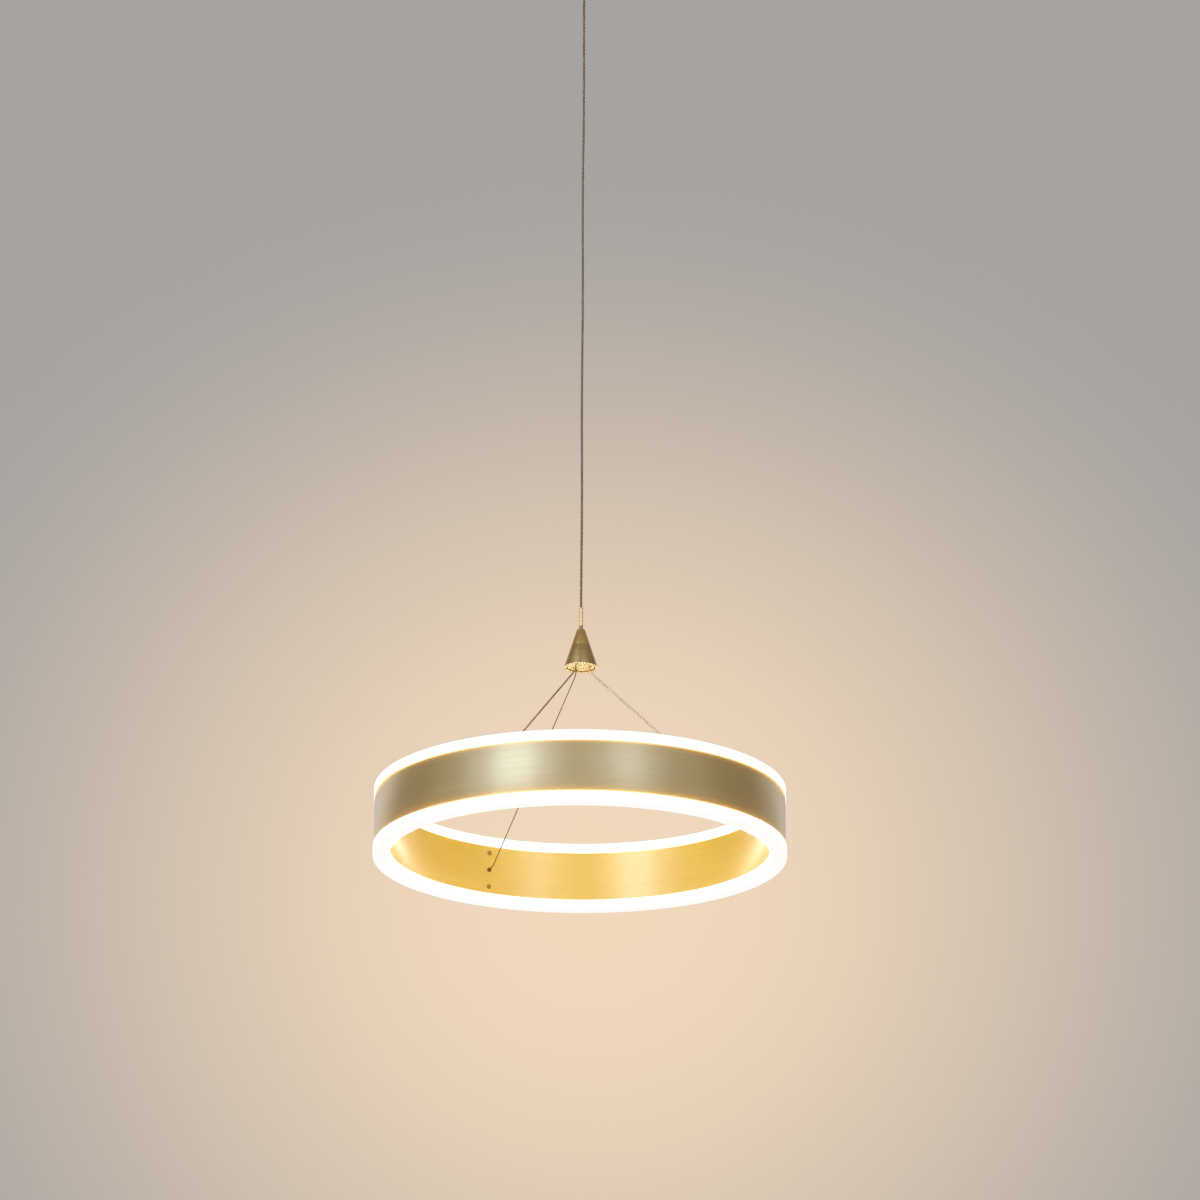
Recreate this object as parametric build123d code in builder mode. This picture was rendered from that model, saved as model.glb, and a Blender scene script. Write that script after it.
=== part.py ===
from build123d import *
from math import cos, hypot, pi, radians, sin, sqrt, tan
import os

os.makedirs("parts", exist_ok=True)

# Frame: the origin is the middle of the ceiling face, +Z is up, and the light hangs below it.
# All driving dimensions are in millimetres.

# Light ring
ring_diameter = 400.0  # over the diffusers
ring_wall = 14.0  # from the outer band's outside to the inner band's inside
band_height = 49.0
band_thickness = 1.0
band_chamfer = 0.25
diffuser_height = 10.0  # stands above the band's edge
diffuser_lip = 1.0  # reaches past the band's face
diffuser_wall = 2.0
diffuser_ledge = 1.5  # rests on the band's edge
diffuser_edge_radius = 1.5
diffuser_leg_length = 4.0
diffuser_leg_thickness = 1.2
carrier_wall = 1.4
carrier_inset = 2.0  # from the band's edge down to the carrier's edge
web_thickness = 7.0
strip_edge_gap = 0.7  # from the strip to the channel's wall
strip_thickness = 0.4
chip_count = 60
chip_length = 3.5
chip_width = 2.8
chip_height = 0.8
connector_length = 11.0
connector_width = 6.0
connector_height = 5.0
connector_edge_radius = 1.0

# Wires, bushes and screws of the ring
feed_diameter = 2.6  # clear-sheathed lead, which carries the ring too
thin_wire_diameter = 1.0
thick_wire_diameter = 1.8
wire_exit_radius = 8.5  # holes in the cone's base plate
wire_bend_drop = 5.0  # straight stretch below the base plate
wire_bend_radius = 8.0
wire_entry_run = 6.0  # straight stretch before the inner band
wire_entry_radius = 8.0
bush_wall = 0.8
bush_flange_step = 0.9  # from the shank out to the flange's edge
bush_flange_thickness = 0.8
bush_flange_chamfer = 0.2
bush_shank_length = 7.0
bush_bore_depth = 5.0
screw_leg_gap = 1.5  # between a diffuser's leg and the screw beside it
screw_diameter = 3.0
screw_length = 4.0
screw_head_diameter = 4.8
screw_head_height = 1.3
screw_slot_length = 2.9
screw_slot_width = 0.8
screw_slot_depth = 0.6

# Cone
head_rise = 161.6  # from the ring's middle to the cone's base
cone_height = 39.0
cone_base_diameter = 33.4
cone_top_diameter = 8.2
cone_split_height = 22.5  # joint line between the cap and the shell
cone_split_chamfer = 0.25
cone_wall = 2.0
spigot_length = 4.0
spigot_step = 3.2  # from the cone's face in to the spigot
plate_recess = 1.2
plate_thickness = 2.5
plate_rim = 1.1  # least wall beside the base plate
plate_seat = 1.0  # ledge over the base plate
tip_height = 4.0
tip_top_diameter = 3.7
tip_base_diameter = 5.0
wire_crimp_wall = 0.9
wire_crimp_length = 4.0

# Drop cable and what is on its lower end
cable_diameter = 2.6
cable_length = 690.0  # from the gripper's mouth to the sleeve
sleeve_diameter = 4.4
sleeve_length = 19.3
crimp_flange_diameter = 8.0
crimp_flange_thickness = 1.5
crimp_diameter = 5.2
crimp_length = 6.0
thrust_washer_diameter = 9.2
thrust_washer_thickness = 0.8

# Cable gripper
ball_diameter = 14.0
ball_rise = 2.0  # ball's centre above the canopy's underside
stem_diameter = 6.0
seat_wall = 1.6
seat_below = 4.4  # nylon seat's reach below the ball's centre
seat_above = 2.0
cup_wall = 2.0
cup_flange_diameter = 30.0
cup_flange_thickness = 3.0
cup_thread_show = 3.0
cup_washer_thickness = 1.0
cup_nut_across_flats = 26.0
cup_nut_height = 5.0
barrel_drop = 12.0  # from the ball's centre to the barrel
barrel_diameter = 11.0
barrel_cap = 6.0
chamber_length = 6.0
taper_length = 6.0
guide_length = 4.0
grip_ball_diameter = 2.2
grip_ball_count = 3
spring_wire_diameter = 0.5
spring_turns = 5
plunger_wall = 1.0
plunger_head_step = 0.35
plunger_head_height = 1.2
plunger_travel = 2.0
plunger_stop = 0.5  # left between collar and barrel when pressed
collar_diameter = 8.4
collar_height = 4.0
collar_notches = 18
collar_notch_diameter = 0.6

# Ceiling fitting
canopy_wall = 1.2
canopy_edge_radius = 4.0
canopy_margin = 2.0  # from the driver's corner to the rounded edge
canopy_headroom = 14.8  # above the driver
driver_length = 64.0
driver_width = 27.0
driver_height = 20.0
driver_wall = 1.6
driver_lid_thickness = 2.0
driver_lid_edge_radius = 0.5
driver_post_diameter = 4.0
driver_post_height = 3.0
board_thickness = 1.6
board_margin = 0.5
terminal_length = 30.0
terminal_width = 14.0
terminal_height = 12.0
terminal_chamfer = 0.8
terminal_poles = 3
terminal_pole_pitch = 9.0
terminal_row_pitch = 7.0
terminal_screw_diameter = 3.2
terminal_screw_height = 4.0
terminal_well_depth = 6.0
lead_diameter = 4.0
bracket_width = 22.0
bracket_thickness = 1.6
bracket_bend_radius = 0.8
lug_drop = 15.0
lug_hole_drop = 9.0
slot_spacing = 60.0
slot_length = 12.0
slot_width = 5.0
supply_hole_diameter = 10.0
supply_hole_x = -14.0
earth_screw_inset = 12.0  # from the lug's outside
earth_screw_diameter = 4.0
earth_head_diameter = 7.0
earth_head_height = 2.4
thumb_screw_diameter = 4.0
thumb_screw_reach = 3.0  # past the lug
thumb_head_diameter = 8.4
thumb_head_height = 4.5

# Clearances
fit_gap = 0.1  # between pieces that are fixed together
glue_gap = 0.1
leg_gap = 0.2
running_gap = 0.3  # between pieces that turn or slide
swivel_gap = 0.2  # cable in the cone
cable_gap = 0.35  # cable in the gripper
grip_gap = 0.15  # ball against the cable
wire_gap = 0.2
part_gap = 2.0  # between pieces side by side in the canopy
cut_margin = 1.0  # cutters run past the face by this much

# Radii that follow from these
cable_r = cable_diameter / 2
cable_bore_r = cable_r + cable_gap
ring_out = ring_diameter / 2
band_out = ring_out - diffuser_lip
band_in = band_out - ring_wall
ring_in = band_in - diffuser_lip
carrier_out = band_out - band_thickness - glue_gap
carrier_in = band_in + band_thickness + glue_gap
channel_out = carrier_out - carrier_wall
channel_in = carrier_in + carrier_wall
channel_middle = (channel_in + channel_out) / 2
ball_r = ball_diameter / 2
seat_in = ball_r + running_gap
seat_out = seat_in + seat_wall
cavity_r = seat_out + running_gap
cup_neck_r = cavity_r + cup_wall
cup_nut_corner = cup_nut_across_flats / sqrt(3)

# Canopy: as large as the driver beside the gripper's nut needs
driver_inner_y = -(cup_nut_corner + part_gap)
driver_y = driver_inner_y - driver_width / 2
driver_outer_y = driver_inner_y - driver_width
canopy_r = hypot(driver_length / 2, driver_outer_y) + canopy_margin + canopy_edge_radius
canopy_in = canopy_r - canopy_wall
canopy_height = canopy_wall + driver_height + canopy_headroom
canopy_bottom = -canopy_height
canopy_floor = canopy_bottom + canopy_wall
terminal_y = cup_nut_corner + part_gap + terminal_length / 2

# Heights down the light, from the ceiling to the ring
ball_z = canopy_bottom + ball_rise
cup_bottom = canopy_bottom - cup_flange_thickness
cup_top = canopy_floor + cup_washer_thickness + cup_nut_height + cup_thread_show
barrel_top = ball_z - barrel_drop
chamber_top = barrel_top - barrel_cap
taper_top = chamber_top - chamber_length
guide_top = taper_top - taper_length
barrel_bottom = guide_top - guide_length
collar_top = barrel_bottom - plunger_travel - plunger_stop
mouth_z = collar_top - collar_height
sleeve_top = mouth_z - cable_length
sleeve_bottom = sleeve_top - sleeve_length
cone_top = sleeve_bottom - running_gap - tip_height
cone_base = cone_top - cone_height
ring_z = cone_base - head_rise
band_edge = band_height / 2
carrier_edge = band_edge - carrier_inset
web_face = web_thickness / 2

# Anchors round the ring, with the wire that each one takes
wire_diameters = [feed_diameter, thin_wire_diameter, thick_wire_diameter]
anchor_angles = [360 / len(wire_diameters) * step for step in range(len(wire_diameters))]
anchors = list(zip(anchor_angles, wire_diameters))


# A plane on a vertical cylinder, looking outwards
def radial_plane(angle, radius, height):
    outwards = Vector(cos(radians(angle)), sin(radians(angle)), 0)
    return Plane(origin=outwards * radius + Vector(0, 0, height), x_dir=(0, 0, 1), z_dir=outwards)


# A point at a radius and height in the vertical plane of an angle
def radial_point(angle, radius, height):
    return Vector(radius * cos(radians(angle)), radius * sin(radians(angle)), height)


# Shank of the bush that a wire ends in
def bush_radius(wire_diameter):
    return wire_diameter / 2 + wire_gap + bush_wall


# Where a flat head seats on the hollow inside of the inner band
def seat_radius(head_diameter):
    return sqrt(band_in**2 - (head_diameter / 2) ** 2)


def save(piece, name):
    piece.part.label = name
    export_step(piece.part, f"parts/{name}.step")


# A tube along straight runs joined by arcs
def tube(name, points, radii, radius):
    with BuildPart() as piece:
        with BuildLine() as route:
            FilletPolyline(*points, radius=radii)
        with BuildSketch(Plane(origin=route.line @ 0, z_dir=route.line % 0)):
            Circle(radius)
        sweep()
    ratio = piece.part.volume / (pi * radius**2 * route.wire().length)
    print(name, "bend radii", [round(bend, 1) for bend in radii], "volume ratio", round(ratio, 4))
    save(piece, name)


# The largest arc that each corner's two runs allow
arc_share = 0.45  # of the shorter run, on each side of a corner


def easy_radii(points):
    radii = []
    for before, corner, after in zip(points, points[1:], points[2:]):
        run_in = Vector(corner) - Vector(before)
        run_out = Vector(after) - Vector(corner)
        half_turn = radians(run_in.get_angle(run_out)) / 2
        radii.append(arc_share * min(run_in.length, run_out.length) / tan(half_turn))
    return radii


# Brass bands that clad the ring
with BuildPart() as outer_band:
    with BuildSketch(Plane.XZ) as section:
        with Locations((band_out - band_thickness / 2, ring_z)):
            Rectangle(band_thickness, band_height)
        chamfer(section.vertices(), length=band_chamfer)
    revolve(axis=Axis.Z)
save(outer_band, "outer_band")

screw_rise = band_edge - diffuser_leg_length - screw_leg_gap - screw_diameter / 2
screw_heights = (ring_z + screw_rise, ring_z - screw_rise)
with BuildPart() as inner_band:
    with BuildSketch(Plane.XZ) as section:
        with Locations((band_in + band_thickness / 2, ring_z)):
            Rectangle(band_thickness, band_height)
        chamfer(section.vertices(), length=band_chamfer)
    revolve(axis=Axis.Z)
    for angle, wire_diameter in anchors:
        with BuildSketch(radial_plane(angle, band_in - cut_margin, ring_z)):
            Circle(bush_radius(wire_diameter) + fit_gap)
        for height in screw_heights:
            with BuildSketch(radial_plane(angle, band_in - cut_margin, height)):
                Circle(screw_diameter / 2 + fit_gap)
    extrude(amount=band_thickness + 2 * cut_margin, mode=Mode.SUBTRACT)
save(inner_band, "inner_band")

# Aluminium carrier between the bands, with the web that the strips lie on
with BuildPart() as led_carrier:
    with BuildSketch(Plane.XZ):
        with Locations(((carrier_in + carrier_out) / 2, ring_z)):
            Rectangle(carrier_out - carrier_in, 2 * carrier_edge)
        for side in (1, -1):
            with Locations((channel_middle, ring_z + side * (web_face + carrier_edge) / 2)):
                Rectangle(channel_out - channel_in, carrier_edge - web_face, mode=Mode.SUBTRACT)
    revolve(axis=Axis.Z)
    for angle, wire_diameter in anchors:
        with BuildSketch(radial_plane(angle, band_in, ring_z)):
            Circle(bush_radius(wire_diameter) + fit_gap)
    extrude(amount=bush_shank_length + fit_gap, mode=Mode.SUBTRACT)
    for angle in anchor_angles:
        for height in screw_heights:
            with BuildSketch(radial_plane(angle, band_in, height)):
                Circle(screw_diameter / 2 + fit_gap)
    extrude(amount=screw_length + fit_gap, mode=Mode.SUBTRACT)
save(led_carrier, "led_carrier")

# LED strips and chips on both faces of the web; the connector sits between two chips
chip_angle = 360 / chip_count
strip_face = web_face + strip_thickness
strip_width = channel_out - channel_in - 2 * strip_edge_gap
for side, place in ((1, "top"), (-1, "bottom")):
    with BuildPart() as led_strip:
        with BuildSketch(Plane.XZ):
            with Locations((channel_middle, ring_z + side * (web_face + strip_thickness / 2))):
                Rectangle(strip_width, strip_thickness)
        revolve(axis=Axis.Z)
    save(led_strip, f"led_strip_{place}")

    with BuildPart() as led_chips:
        with Locations((0, 0, ring_z + side * (strip_face + chip_height / 2))):
            with PolarLocations(channel_middle, chip_count, start_angle=chip_angle / 2):
                Box(chip_width, chip_length, chip_height)
    save(led_chips, f"led_chips_{place}")

with BuildPart() as strip_connector:
    with Locations((channel_middle, 0, ring_z + strip_face)):
        Box(connector_width, connector_length, connector_height, align=(Align.CENTER, Align.CENTER, Align.MIN))
    fillet(strip_connector.edges().filter_by(Axis.Z), radius=connector_edge_radius)
save(strip_connector, "strip_connector")

# Opal diffusers: a hollow rim on the bands' edges, with two legs down into the channel
leg_out = channel_out - leg_gap
leg_in = channel_in + leg_gap
rim_top = band_edge + diffuser_height
leg_end = band_edge - diffuser_leg_length
ledge_top = band_edge + diffuser_ledge
diffuser_section = [
    (ring_in, band_edge),
    (ring_in, rim_top),
    (ring_out, rim_top),
    (ring_out, band_edge),
    (leg_out, band_edge),
    (leg_out, leg_end),
    (leg_out - diffuser_leg_thickness, leg_end),
    (leg_out - diffuser_leg_thickness, ledge_top),
    (ring_out - diffuser_wall, ledge_top),
    (ring_out - diffuser_wall, rim_top - diffuser_wall),
    (ring_in + diffuser_wall, rim_top - diffuser_wall),
    (ring_in + diffuser_wall, ledge_top),
    (leg_in + diffuser_leg_thickness, ledge_top),
    (leg_in + diffuser_leg_thickness, leg_end),
    (leg_in, leg_end),
    (leg_in, band_edge),
]
for side, place in ((1, "top"), (-1, "bottom")):
    with BuildPart() as diffuser:
        with BuildSketch(Plane.XZ) as section:
            with BuildLine():
                Polyline(*[(radius, ring_z + side * height) for radius, height in diffuser_section], close=True)
            make_face()
            crown = section.vertices().group_by(Axis.Y)[-1 if side > 0 else 0]
            fillet(crown, radius=diffuser_edge_radius)
        revolve(axis=Axis.Z)
    save(diffuser, f"diffuser_{place}")

# Bushes that the wires end in, screwed through the inner band into the web
bush_end = band_in + bush_shank_length
for number, (angle, wire_diameter) in enumerate(anchors, start=1):
    flange_r = bush_radius(wire_diameter) + bush_flange_step
    bush_seat = seat_radius(2 * flange_r)
    with BuildPart() as wire_bush:
        with BuildSketch(radial_plane(angle, bush_seat, ring_z)):
            Circle(bush_radius(wire_diameter))
        extrude(amount=bush_end - bush_seat)
        with BuildSketch(radial_plane(angle, bush_seat, ring_z)):
            Circle(flange_r)
        extrude(amount=-bush_flange_thickness)
        flange_edges = wire_bush.edges().filter_by(GeomType.CIRCLE).sort_by(SortBy.RADIUS)[-2:]
        chamfer(flange_edges, length=bush_flange_chamfer)
        with BuildSketch(radial_plane(angle, bush_seat - bush_flange_thickness, ring_z)):
            Circle(wire_diameter / 2 + wire_gap)
        extrude(amount=band_in + bush_bore_depth - bush_seat + bush_flange_thickness, mode=Mode.SUBTRACT)
    save(wire_bush, f"wire_bush_{number}")

# Screws above and below each wire, with a cross in the head
screw_seat = seat_radius(screw_head_diameter)
with BuildPart() as band_screws:
    for angle in anchor_angles:
        for height in screw_heights:
            with BuildSketch(radial_plane(angle, screw_seat, height)):
                Circle(screw_diameter / 2)
    extrude(amount=band_in + screw_length - screw_seat)
    for angle in anchor_angles:
        for height in screw_heights:
            with BuildSketch(radial_plane(angle, screw_seat, height)):
                Circle(screw_head_diameter / 2)
    extrude(amount=-screw_head_height)
    for angle in anchor_angles:
        for height in screw_heights:
            with BuildSketch(radial_plane(angle, screw_seat - screw_head_height, height)):
                Rectangle(screw_slot_length, screw_slot_width)
                Rectangle(screw_slot_width, screw_slot_length)
    extrude(amount=screw_slot_depth, mode=Mode.SUBTRACT)
save(band_screws, "band_screws")

# Suspension wires from the cone to the ring
plate_top = plate_recess + plate_thickness
plate_bottom_z = cone_base + plate_recess
crimp_top_z = cone_base + plate_top + wire_crimp_length
wire_end_r = band_in + bush_bore_depth - fit_gap
for number, (angle, wire_diameter) in enumerate(anchors, start=1):
    wire_points = [
        radial_point(angle, wire_exit_radius, crimp_top_z),
        radial_point(angle, wire_exit_radius, plate_bottom_z - wire_bend_drop),
        radial_point(angle, band_in - wire_entry_run, ring_z),
        radial_point(angle, wire_end_r, ring_z),
    ]
    tube(f"hanger_wire_{number}", wire_points, [wire_bend_radius, wire_entry_radius], wire_diameter / 2)

with BuildPart() as wire_crimps:
    with BuildSketch(Plane.XY.offset(cone_base + plate_top)):
        for angle, wire_diameter in anchors:
            with Locations(radial_point(angle, wire_exit_radius, 0)):
                Circle(wire_diameter / 2 + wire_crimp_wall)
                Circle(wire_diameter / 2 + fit_gap, mode=Mode.SUBTRACT)
    extrude(amount=wire_crimp_length)
save(wire_crimps, "wire_crimps")


# Turned cone: its outside radius at a height above the base
def cone_radius(height):
    return (cone_base_diameter - (cone_base_diameter - cone_top_diameter) * height / cone_height) / 2


spigot_r = cone_radius(cone_split_height) - spigot_step
spigot_end = cone_split_height - spigot_length
pocket_r = cone_radius(plate_top) - plate_rim
cap_bore_r = cable_r + swivel_gap

with BuildPart() as cone_cap:
    with BuildSketch(Plane.XZ):
        with BuildLine():
            Polyline(
                (cap_bore_r, cone_base + spigot_end),
                (spigot_r, cone_base + spigot_end),
                (spigot_r, cone_base + cone_split_height),
                (cone_radius(cone_split_height) - cone_split_chamfer, cone_base + cone_split_height),
                (
                    cone_radius(cone_split_height + cone_split_chamfer),
                    cone_base + cone_split_height + cone_split_chamfer,
                ),
                (cone_radius(cone_height), cone_top),
                (cap_bore_r, cone_top),
                close=True,
            )
        make_face()
    revolve(axis=Axis.Z)
save(cone_cap, "cone_cap")

with BuildPart() as cone_shell:
    with BuildSketch(Plane.XZ):
        with BuildLine():
            Polyline(
                (spigot_r + fit_gap, cone_base + cone_split_height),
                (cone_radius(cone_split_height) - cone_split_chamfer, cone_base + cone_split_height),
                (
                    cone_radius(cone_split_height - cone_split_chamfer),
                    cone_base + cone_split_height - cone_split_chamfer,
                ),
                (cone_radius(0), cone_base),
                (pocket_r, cone_base),
                (pocket_r, cone_base + plate_top),
                (pocket_r - plate_seat, cone_base + plate_top),
                (cone_radius(spigot_end) - cone_wall, cone_base + spigot_end),
                (spigot_r + fit_gap, cone_base + spigot_end),
                close=True,
            )
        make_face()
    revolve(axis=Axis.Z)
save(cone_shell, "cone_shell")

with BuildPart() as cone_base_plate:
    with BuildSketch(Plane.XY.offset(plate_bottom_z)):
        Circle(pocket_r - fit_gap)
        for angle, wire_diameter in anchors:
            with Locations(radial_point(angle, wire_exit_radius, 0)):
                Circle(wire_diameter / 2 + wire_gap, mode=Mode.SUBTRACT)
    extrude(amount=plate_thickness)
save(cone_base_plate, "cone_base_plate")

with BuildPart() as cone_tip:
    with BuildSketch(Plane.XZ):
        with BuildLine():
            Polyline(
                (cap_bore_r, cone_top),
                (tip_base_diameter / 2, cone_top),
                (tip_top_diameter / 2, cone_top + tip_height),
                (cap_bore_r, cone_top + tip_height),
                close=True,
            )
        make_face()
    revolve(axis=Axis.Z)
save(cone_tip, "cone_tip")

# Cable's lower end: sleeve above the cone, washer and crimp inside it
washer_top = cone_base + spigot_end - fit_gap
crimp_top = washer_top - thrust_washer_thickness
crimp_bottom = crimp_top - crimp_flange_thickness - crimp_length

with BuildPart() as thrust_washer:
    with BuildSketch(Plane.XY.offset(crimp_top)):
        Circle(thrust_washer_diameter / 2)
        Circle(cable_r + swivel_gap, mode=Mode.SUBTRACT)
    extrude(amount=thrust_washer_thickness)
save(thrust_washer, "thrust_washer")

with BuildPart() as cable_crimp:
    with BuildSketch(Plane.XY.offset(crimp_bottom)):
        Circle(crimp_diameter / 2)
    extrude(amount=crimp_length)
    with BuildSketch(Plane.XY.offset(crimp_top - crimp_flange_thickness)):
        Circle(crimp_flange_diameter / 2)
    extrude(amount=crimp_flange_thickness)
    with BuildSketch(Plane.XY.offset(crimp_bottom)):
        Circle(cable_r + fit_gap)
    extrude(amount=crimp_length + crimp_flange_thickness, mode=Mode.SUBTRACT)
save(cable_crimp, "cable_crimp")

with BuildPart() as cable_end:
    with BuildSketch(Plane.XY.offset(crimp_bottom)):
        Circle(cable_r)
    extrude(amount=sleeve_top - crimp_bottom)
save(cable_end, "cable_end")

with BuildPart() as cable_sleeve:
    with BuildSketch(Plane.XY.offset(sleeve_bottom)):
        Circle(sleeve_diameter / 2)
        Circle(cable_r + fit_gap, mode=Mode.SUBTRACT)
    extrude(amount=sleeve_length)
save(cable_sleeve, "cable_sleeve")

# Drop cable, taut from inside the swivel ball to the sleeve
cable_top = ball_z + sqrt(ball_r**2 - cable_bore_r**2) - fit_gap
with BuildPart() as drop_cable:
    with BuildSketch(Plane.XY.offset(sleeve_top)):
        Circle(cable_r)
    extrude(amount=cable_top - sleeve_top)
save(drop_cable, "drop_cable")

# Swivel: cup through the canopy, nylon seat, and the ball with its stem
with BuildPart() as swivel_cup:
    with BuildSketch(Plane.XZ):
        with Locations((cup_neck_r / 2, (cup_top + canopy_bottom) / 2)):
            Rectangle(cup_neck_r, cup_top - canopy_bottom)
        with Locations((cup_flange_diameter / 4, (canopy_bottom + cup_bottom) / 2)):
            Rectangle(cup_flange_diameter / 2, cup_flange_thickness)
        with Locations((0, ball_z)):
            Circle(cavity_r, mode=Mode.SUBTRACT)
        with Locations((cavity_r / 2, (ball_z + cup_top) / 2)):
            Rectangle(cavity_r, cup_top - ball_z, mode=Mode.SUBTRACT)
    revolve(axis=Axis.Z)
    flange_rim = swivel_cup.edges().filter_by(GeomType.CIRCLE).sort_by(SortBy.RADIUS)[-2:]
    fillet(flange_rim.sort_by(Axis.Z)[0], radius=cup_flange_thickness / 2)
save(swivel_cup, "swivel_cup")

with BuildPart() as cup_washer:
    with BuildSketch(Plane.XY.offset(canopy_floor)):
        Circle(cup_nut_across_flats / 2)
        Circle(cup_neck_r + fit_gap, mode=Mode.SUBTRACT)
    extrude(amount=cup_washer_thickness)
save(cup_washer, "cup_washer")

with BuildPart() as cup_nut:
    with BuildSketch(Plane.XY.offset(canopy_floor + cup_washer_thickness)):
        RegularPolygon(cup_nut_across_flats / 2, 6, major_radius=False)
        Circle(cup_neck_r + fit_gap, mode=Mode.SUBTRACT)
    extrude(amount=cup_nut_height)
save(cup_nut, "cup_nut")

with BuildPart() as swivel_seat:
    with BuildSketch(Plane.XZ):
        with Locations((0, ball_z)):
            Circle(seat_out)
            Circle(seat_in, mode=Mode.SUBTRACT)
        with Locations((seat_out / 2, ball_z + (seat_above - seat_below) / 2)):
            Rectangle(seat_out, seat_above + seat_below, mode=Mode.INTERSECT)
    revolve(axis=Axis.Z)
save(swivel_seat, "swivel_seat")

with BuildPart() as swivel_ball:
    with Locations((0, 0, ball_z)):
        Sphere(ball_r)
    with BuildSketch(Plane.XY.offset(chamber_top)):
        Circle(stem_diameter / 2)
    extrude(amount=ball_z - chamber_top)
    with BuildSketch(Plane.XY.offset(chamber_top)):
        Circle(cable_bore_r)
    extrude(amount=ball_z + ball_r - chamber_top, mode=Mode.SUBTRACT)
save(swivel_ball, "swivel_ball")

# Gripper barrel with a tapered chamber that wedges three balls on the cable
plunger_r = cable_bore_r + plunger_wall
guide_r = plunger_r + running_gap
grip_ball_r = grip_ball_diameter / 2
grip_circle = cable_r + grip_gap + grip_ball_r
chamber_r = grip_circle + grip_ball_r + 2 * running_gap
taper_slope = (chamber_r - guide_r) / taper_length
grip_reach = (grip_ball_r + running_gap) * sqrt(1 + taper_slope**2)
grip_z = taper_top - (chamber_r - grip_circle - grip_reach) / taper_slope

with BuildPart() as gripper_barrel:
    with BuildSketch(Plane.XZ) as section:
        with BuildLine():
            Polyline(
                (stem_diameter / 2 + fit_gap, barrel_top),
                (barrel_diameter / 2, barrel_top),
                (barrel_diameter / 2, barrel_bottom),
                (guide_r, barrel_bottom),
                (guide_r, guide_top),
                (chamber_r, taper_top),
                (chamber_r, chamber_top),
                (stem_diameter / 2 + fit_gap, chamber_top),
                close=True,
            )
        make_face()
        shoulders = section.vertices().group_by(Axis.X)[-1]
        chamfer(shoulders, length=plunger_stop)
    revolve(axis=Axis.Z)
save(gripper_barrel, "gripper_barrel")

with BuildPart() as grip_balls:
    with Locations((0, 0, grip_z)):
        with PolarLocations(grip_circle, grip_ball_count):
            Sphere(grip_ball_r)
save(grip_balls, "grip_balls")

plunger_top = grip_z - grip_ball_r - fit_gap
with BuildPart() as release_plunger:
    with BuildSketch(Plane.XY.offset(mouth_z)):
        Circle(plunger_r)
    extrude(amount=plunger_top - mouth_z)
    with BuildSketch(Plane.XY.offset(plunger_top - plunger_head_height)):
        Circle(plunger_r + plunger_head_step)
    extrude(amount=plunger_head_height)
    with BuildSketch(Plane.XY.offset(mouth_z)):
        Circle(collar_diameter / 2)
        with PolarLocations(collar_diameter / 2, collar_notches):
            Circle(collar_notch_diameter / 2, mode=Mode.SUBTRACT)
    extrude(amount=collar_height)
    with BuildSketch(Plane.XY.offset(mouth_z)):
        Circle(cable_bore_r)
    extrude(amount=plunger_top - mouth_z, mode=Mode.SUBTRACT)
save(release_plunger, "release_plunger")

# Coil spring between the chamber's top and the balls
spring_wire_r = spring_wire_diameter / 2
spring_bottom = grip_z + grip_ball_r + fit_gap + spring_wire_r
spring_top = chamber_top - fit_gap - spring_wire_r
spring_rise = spring_top - spring_bottom
with BuildPart() as grip_spring:
    with BuildLine() as coil:
        Helix(spring_rise / spring_turns, spring_rise, grip_circle, center=(0, 0, spring_bottom))
    with BuildSketch(Plane(origin=coil.line @ 0, z_dir=coil.line % 0)):
        Circle(spring_wire_r)
    sweep(is_frenet=True)
print("grip_spring gap between turns", round(spring_rise / spring_turns - spring_wire_diameter, 2))
save(grip_spring, "grip_spring")

# Canopy: a spun cup with a hole for the swivel and two for its side screws
lug_hole_z = -lug_hole_drop
with BuildPart() as canopy_shell:
    with BuildSketch(Plane.XY.offset(canopy_bottom)):
        Circle(canopy_r)
    extrude(amount=canopy_height)
    fillet(canopy_shell.edges().group_by(Axis.Z)[0], radius=canopy_edge_radius)
    offset(amount=-canopy_wall, openings=canopy_shell.faces().sort_by(Axis.Z)[-1])
    with BuildSketch(Plane.XY.offset(canopy_bottom - cut_margin)):
        Circle(cup_neck_r + fit_gap)
    extrude(amount=canopy_wall + 2 * cut_margin, mode=Mode.SUBTRACT)
    for angle in (0, 180):
        with BuildSketch(radial_plane(angle, canopy_in - cut_margin, lug_hole_z)):
            Circle(thumb_screw_diameter / 2 + fit_gap)
    extrude(amount=canopy_wall + 2 * cut_margin, mode=Mode.SUBTRACT)
save(canopy_shell, "canopy_shell")

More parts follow.
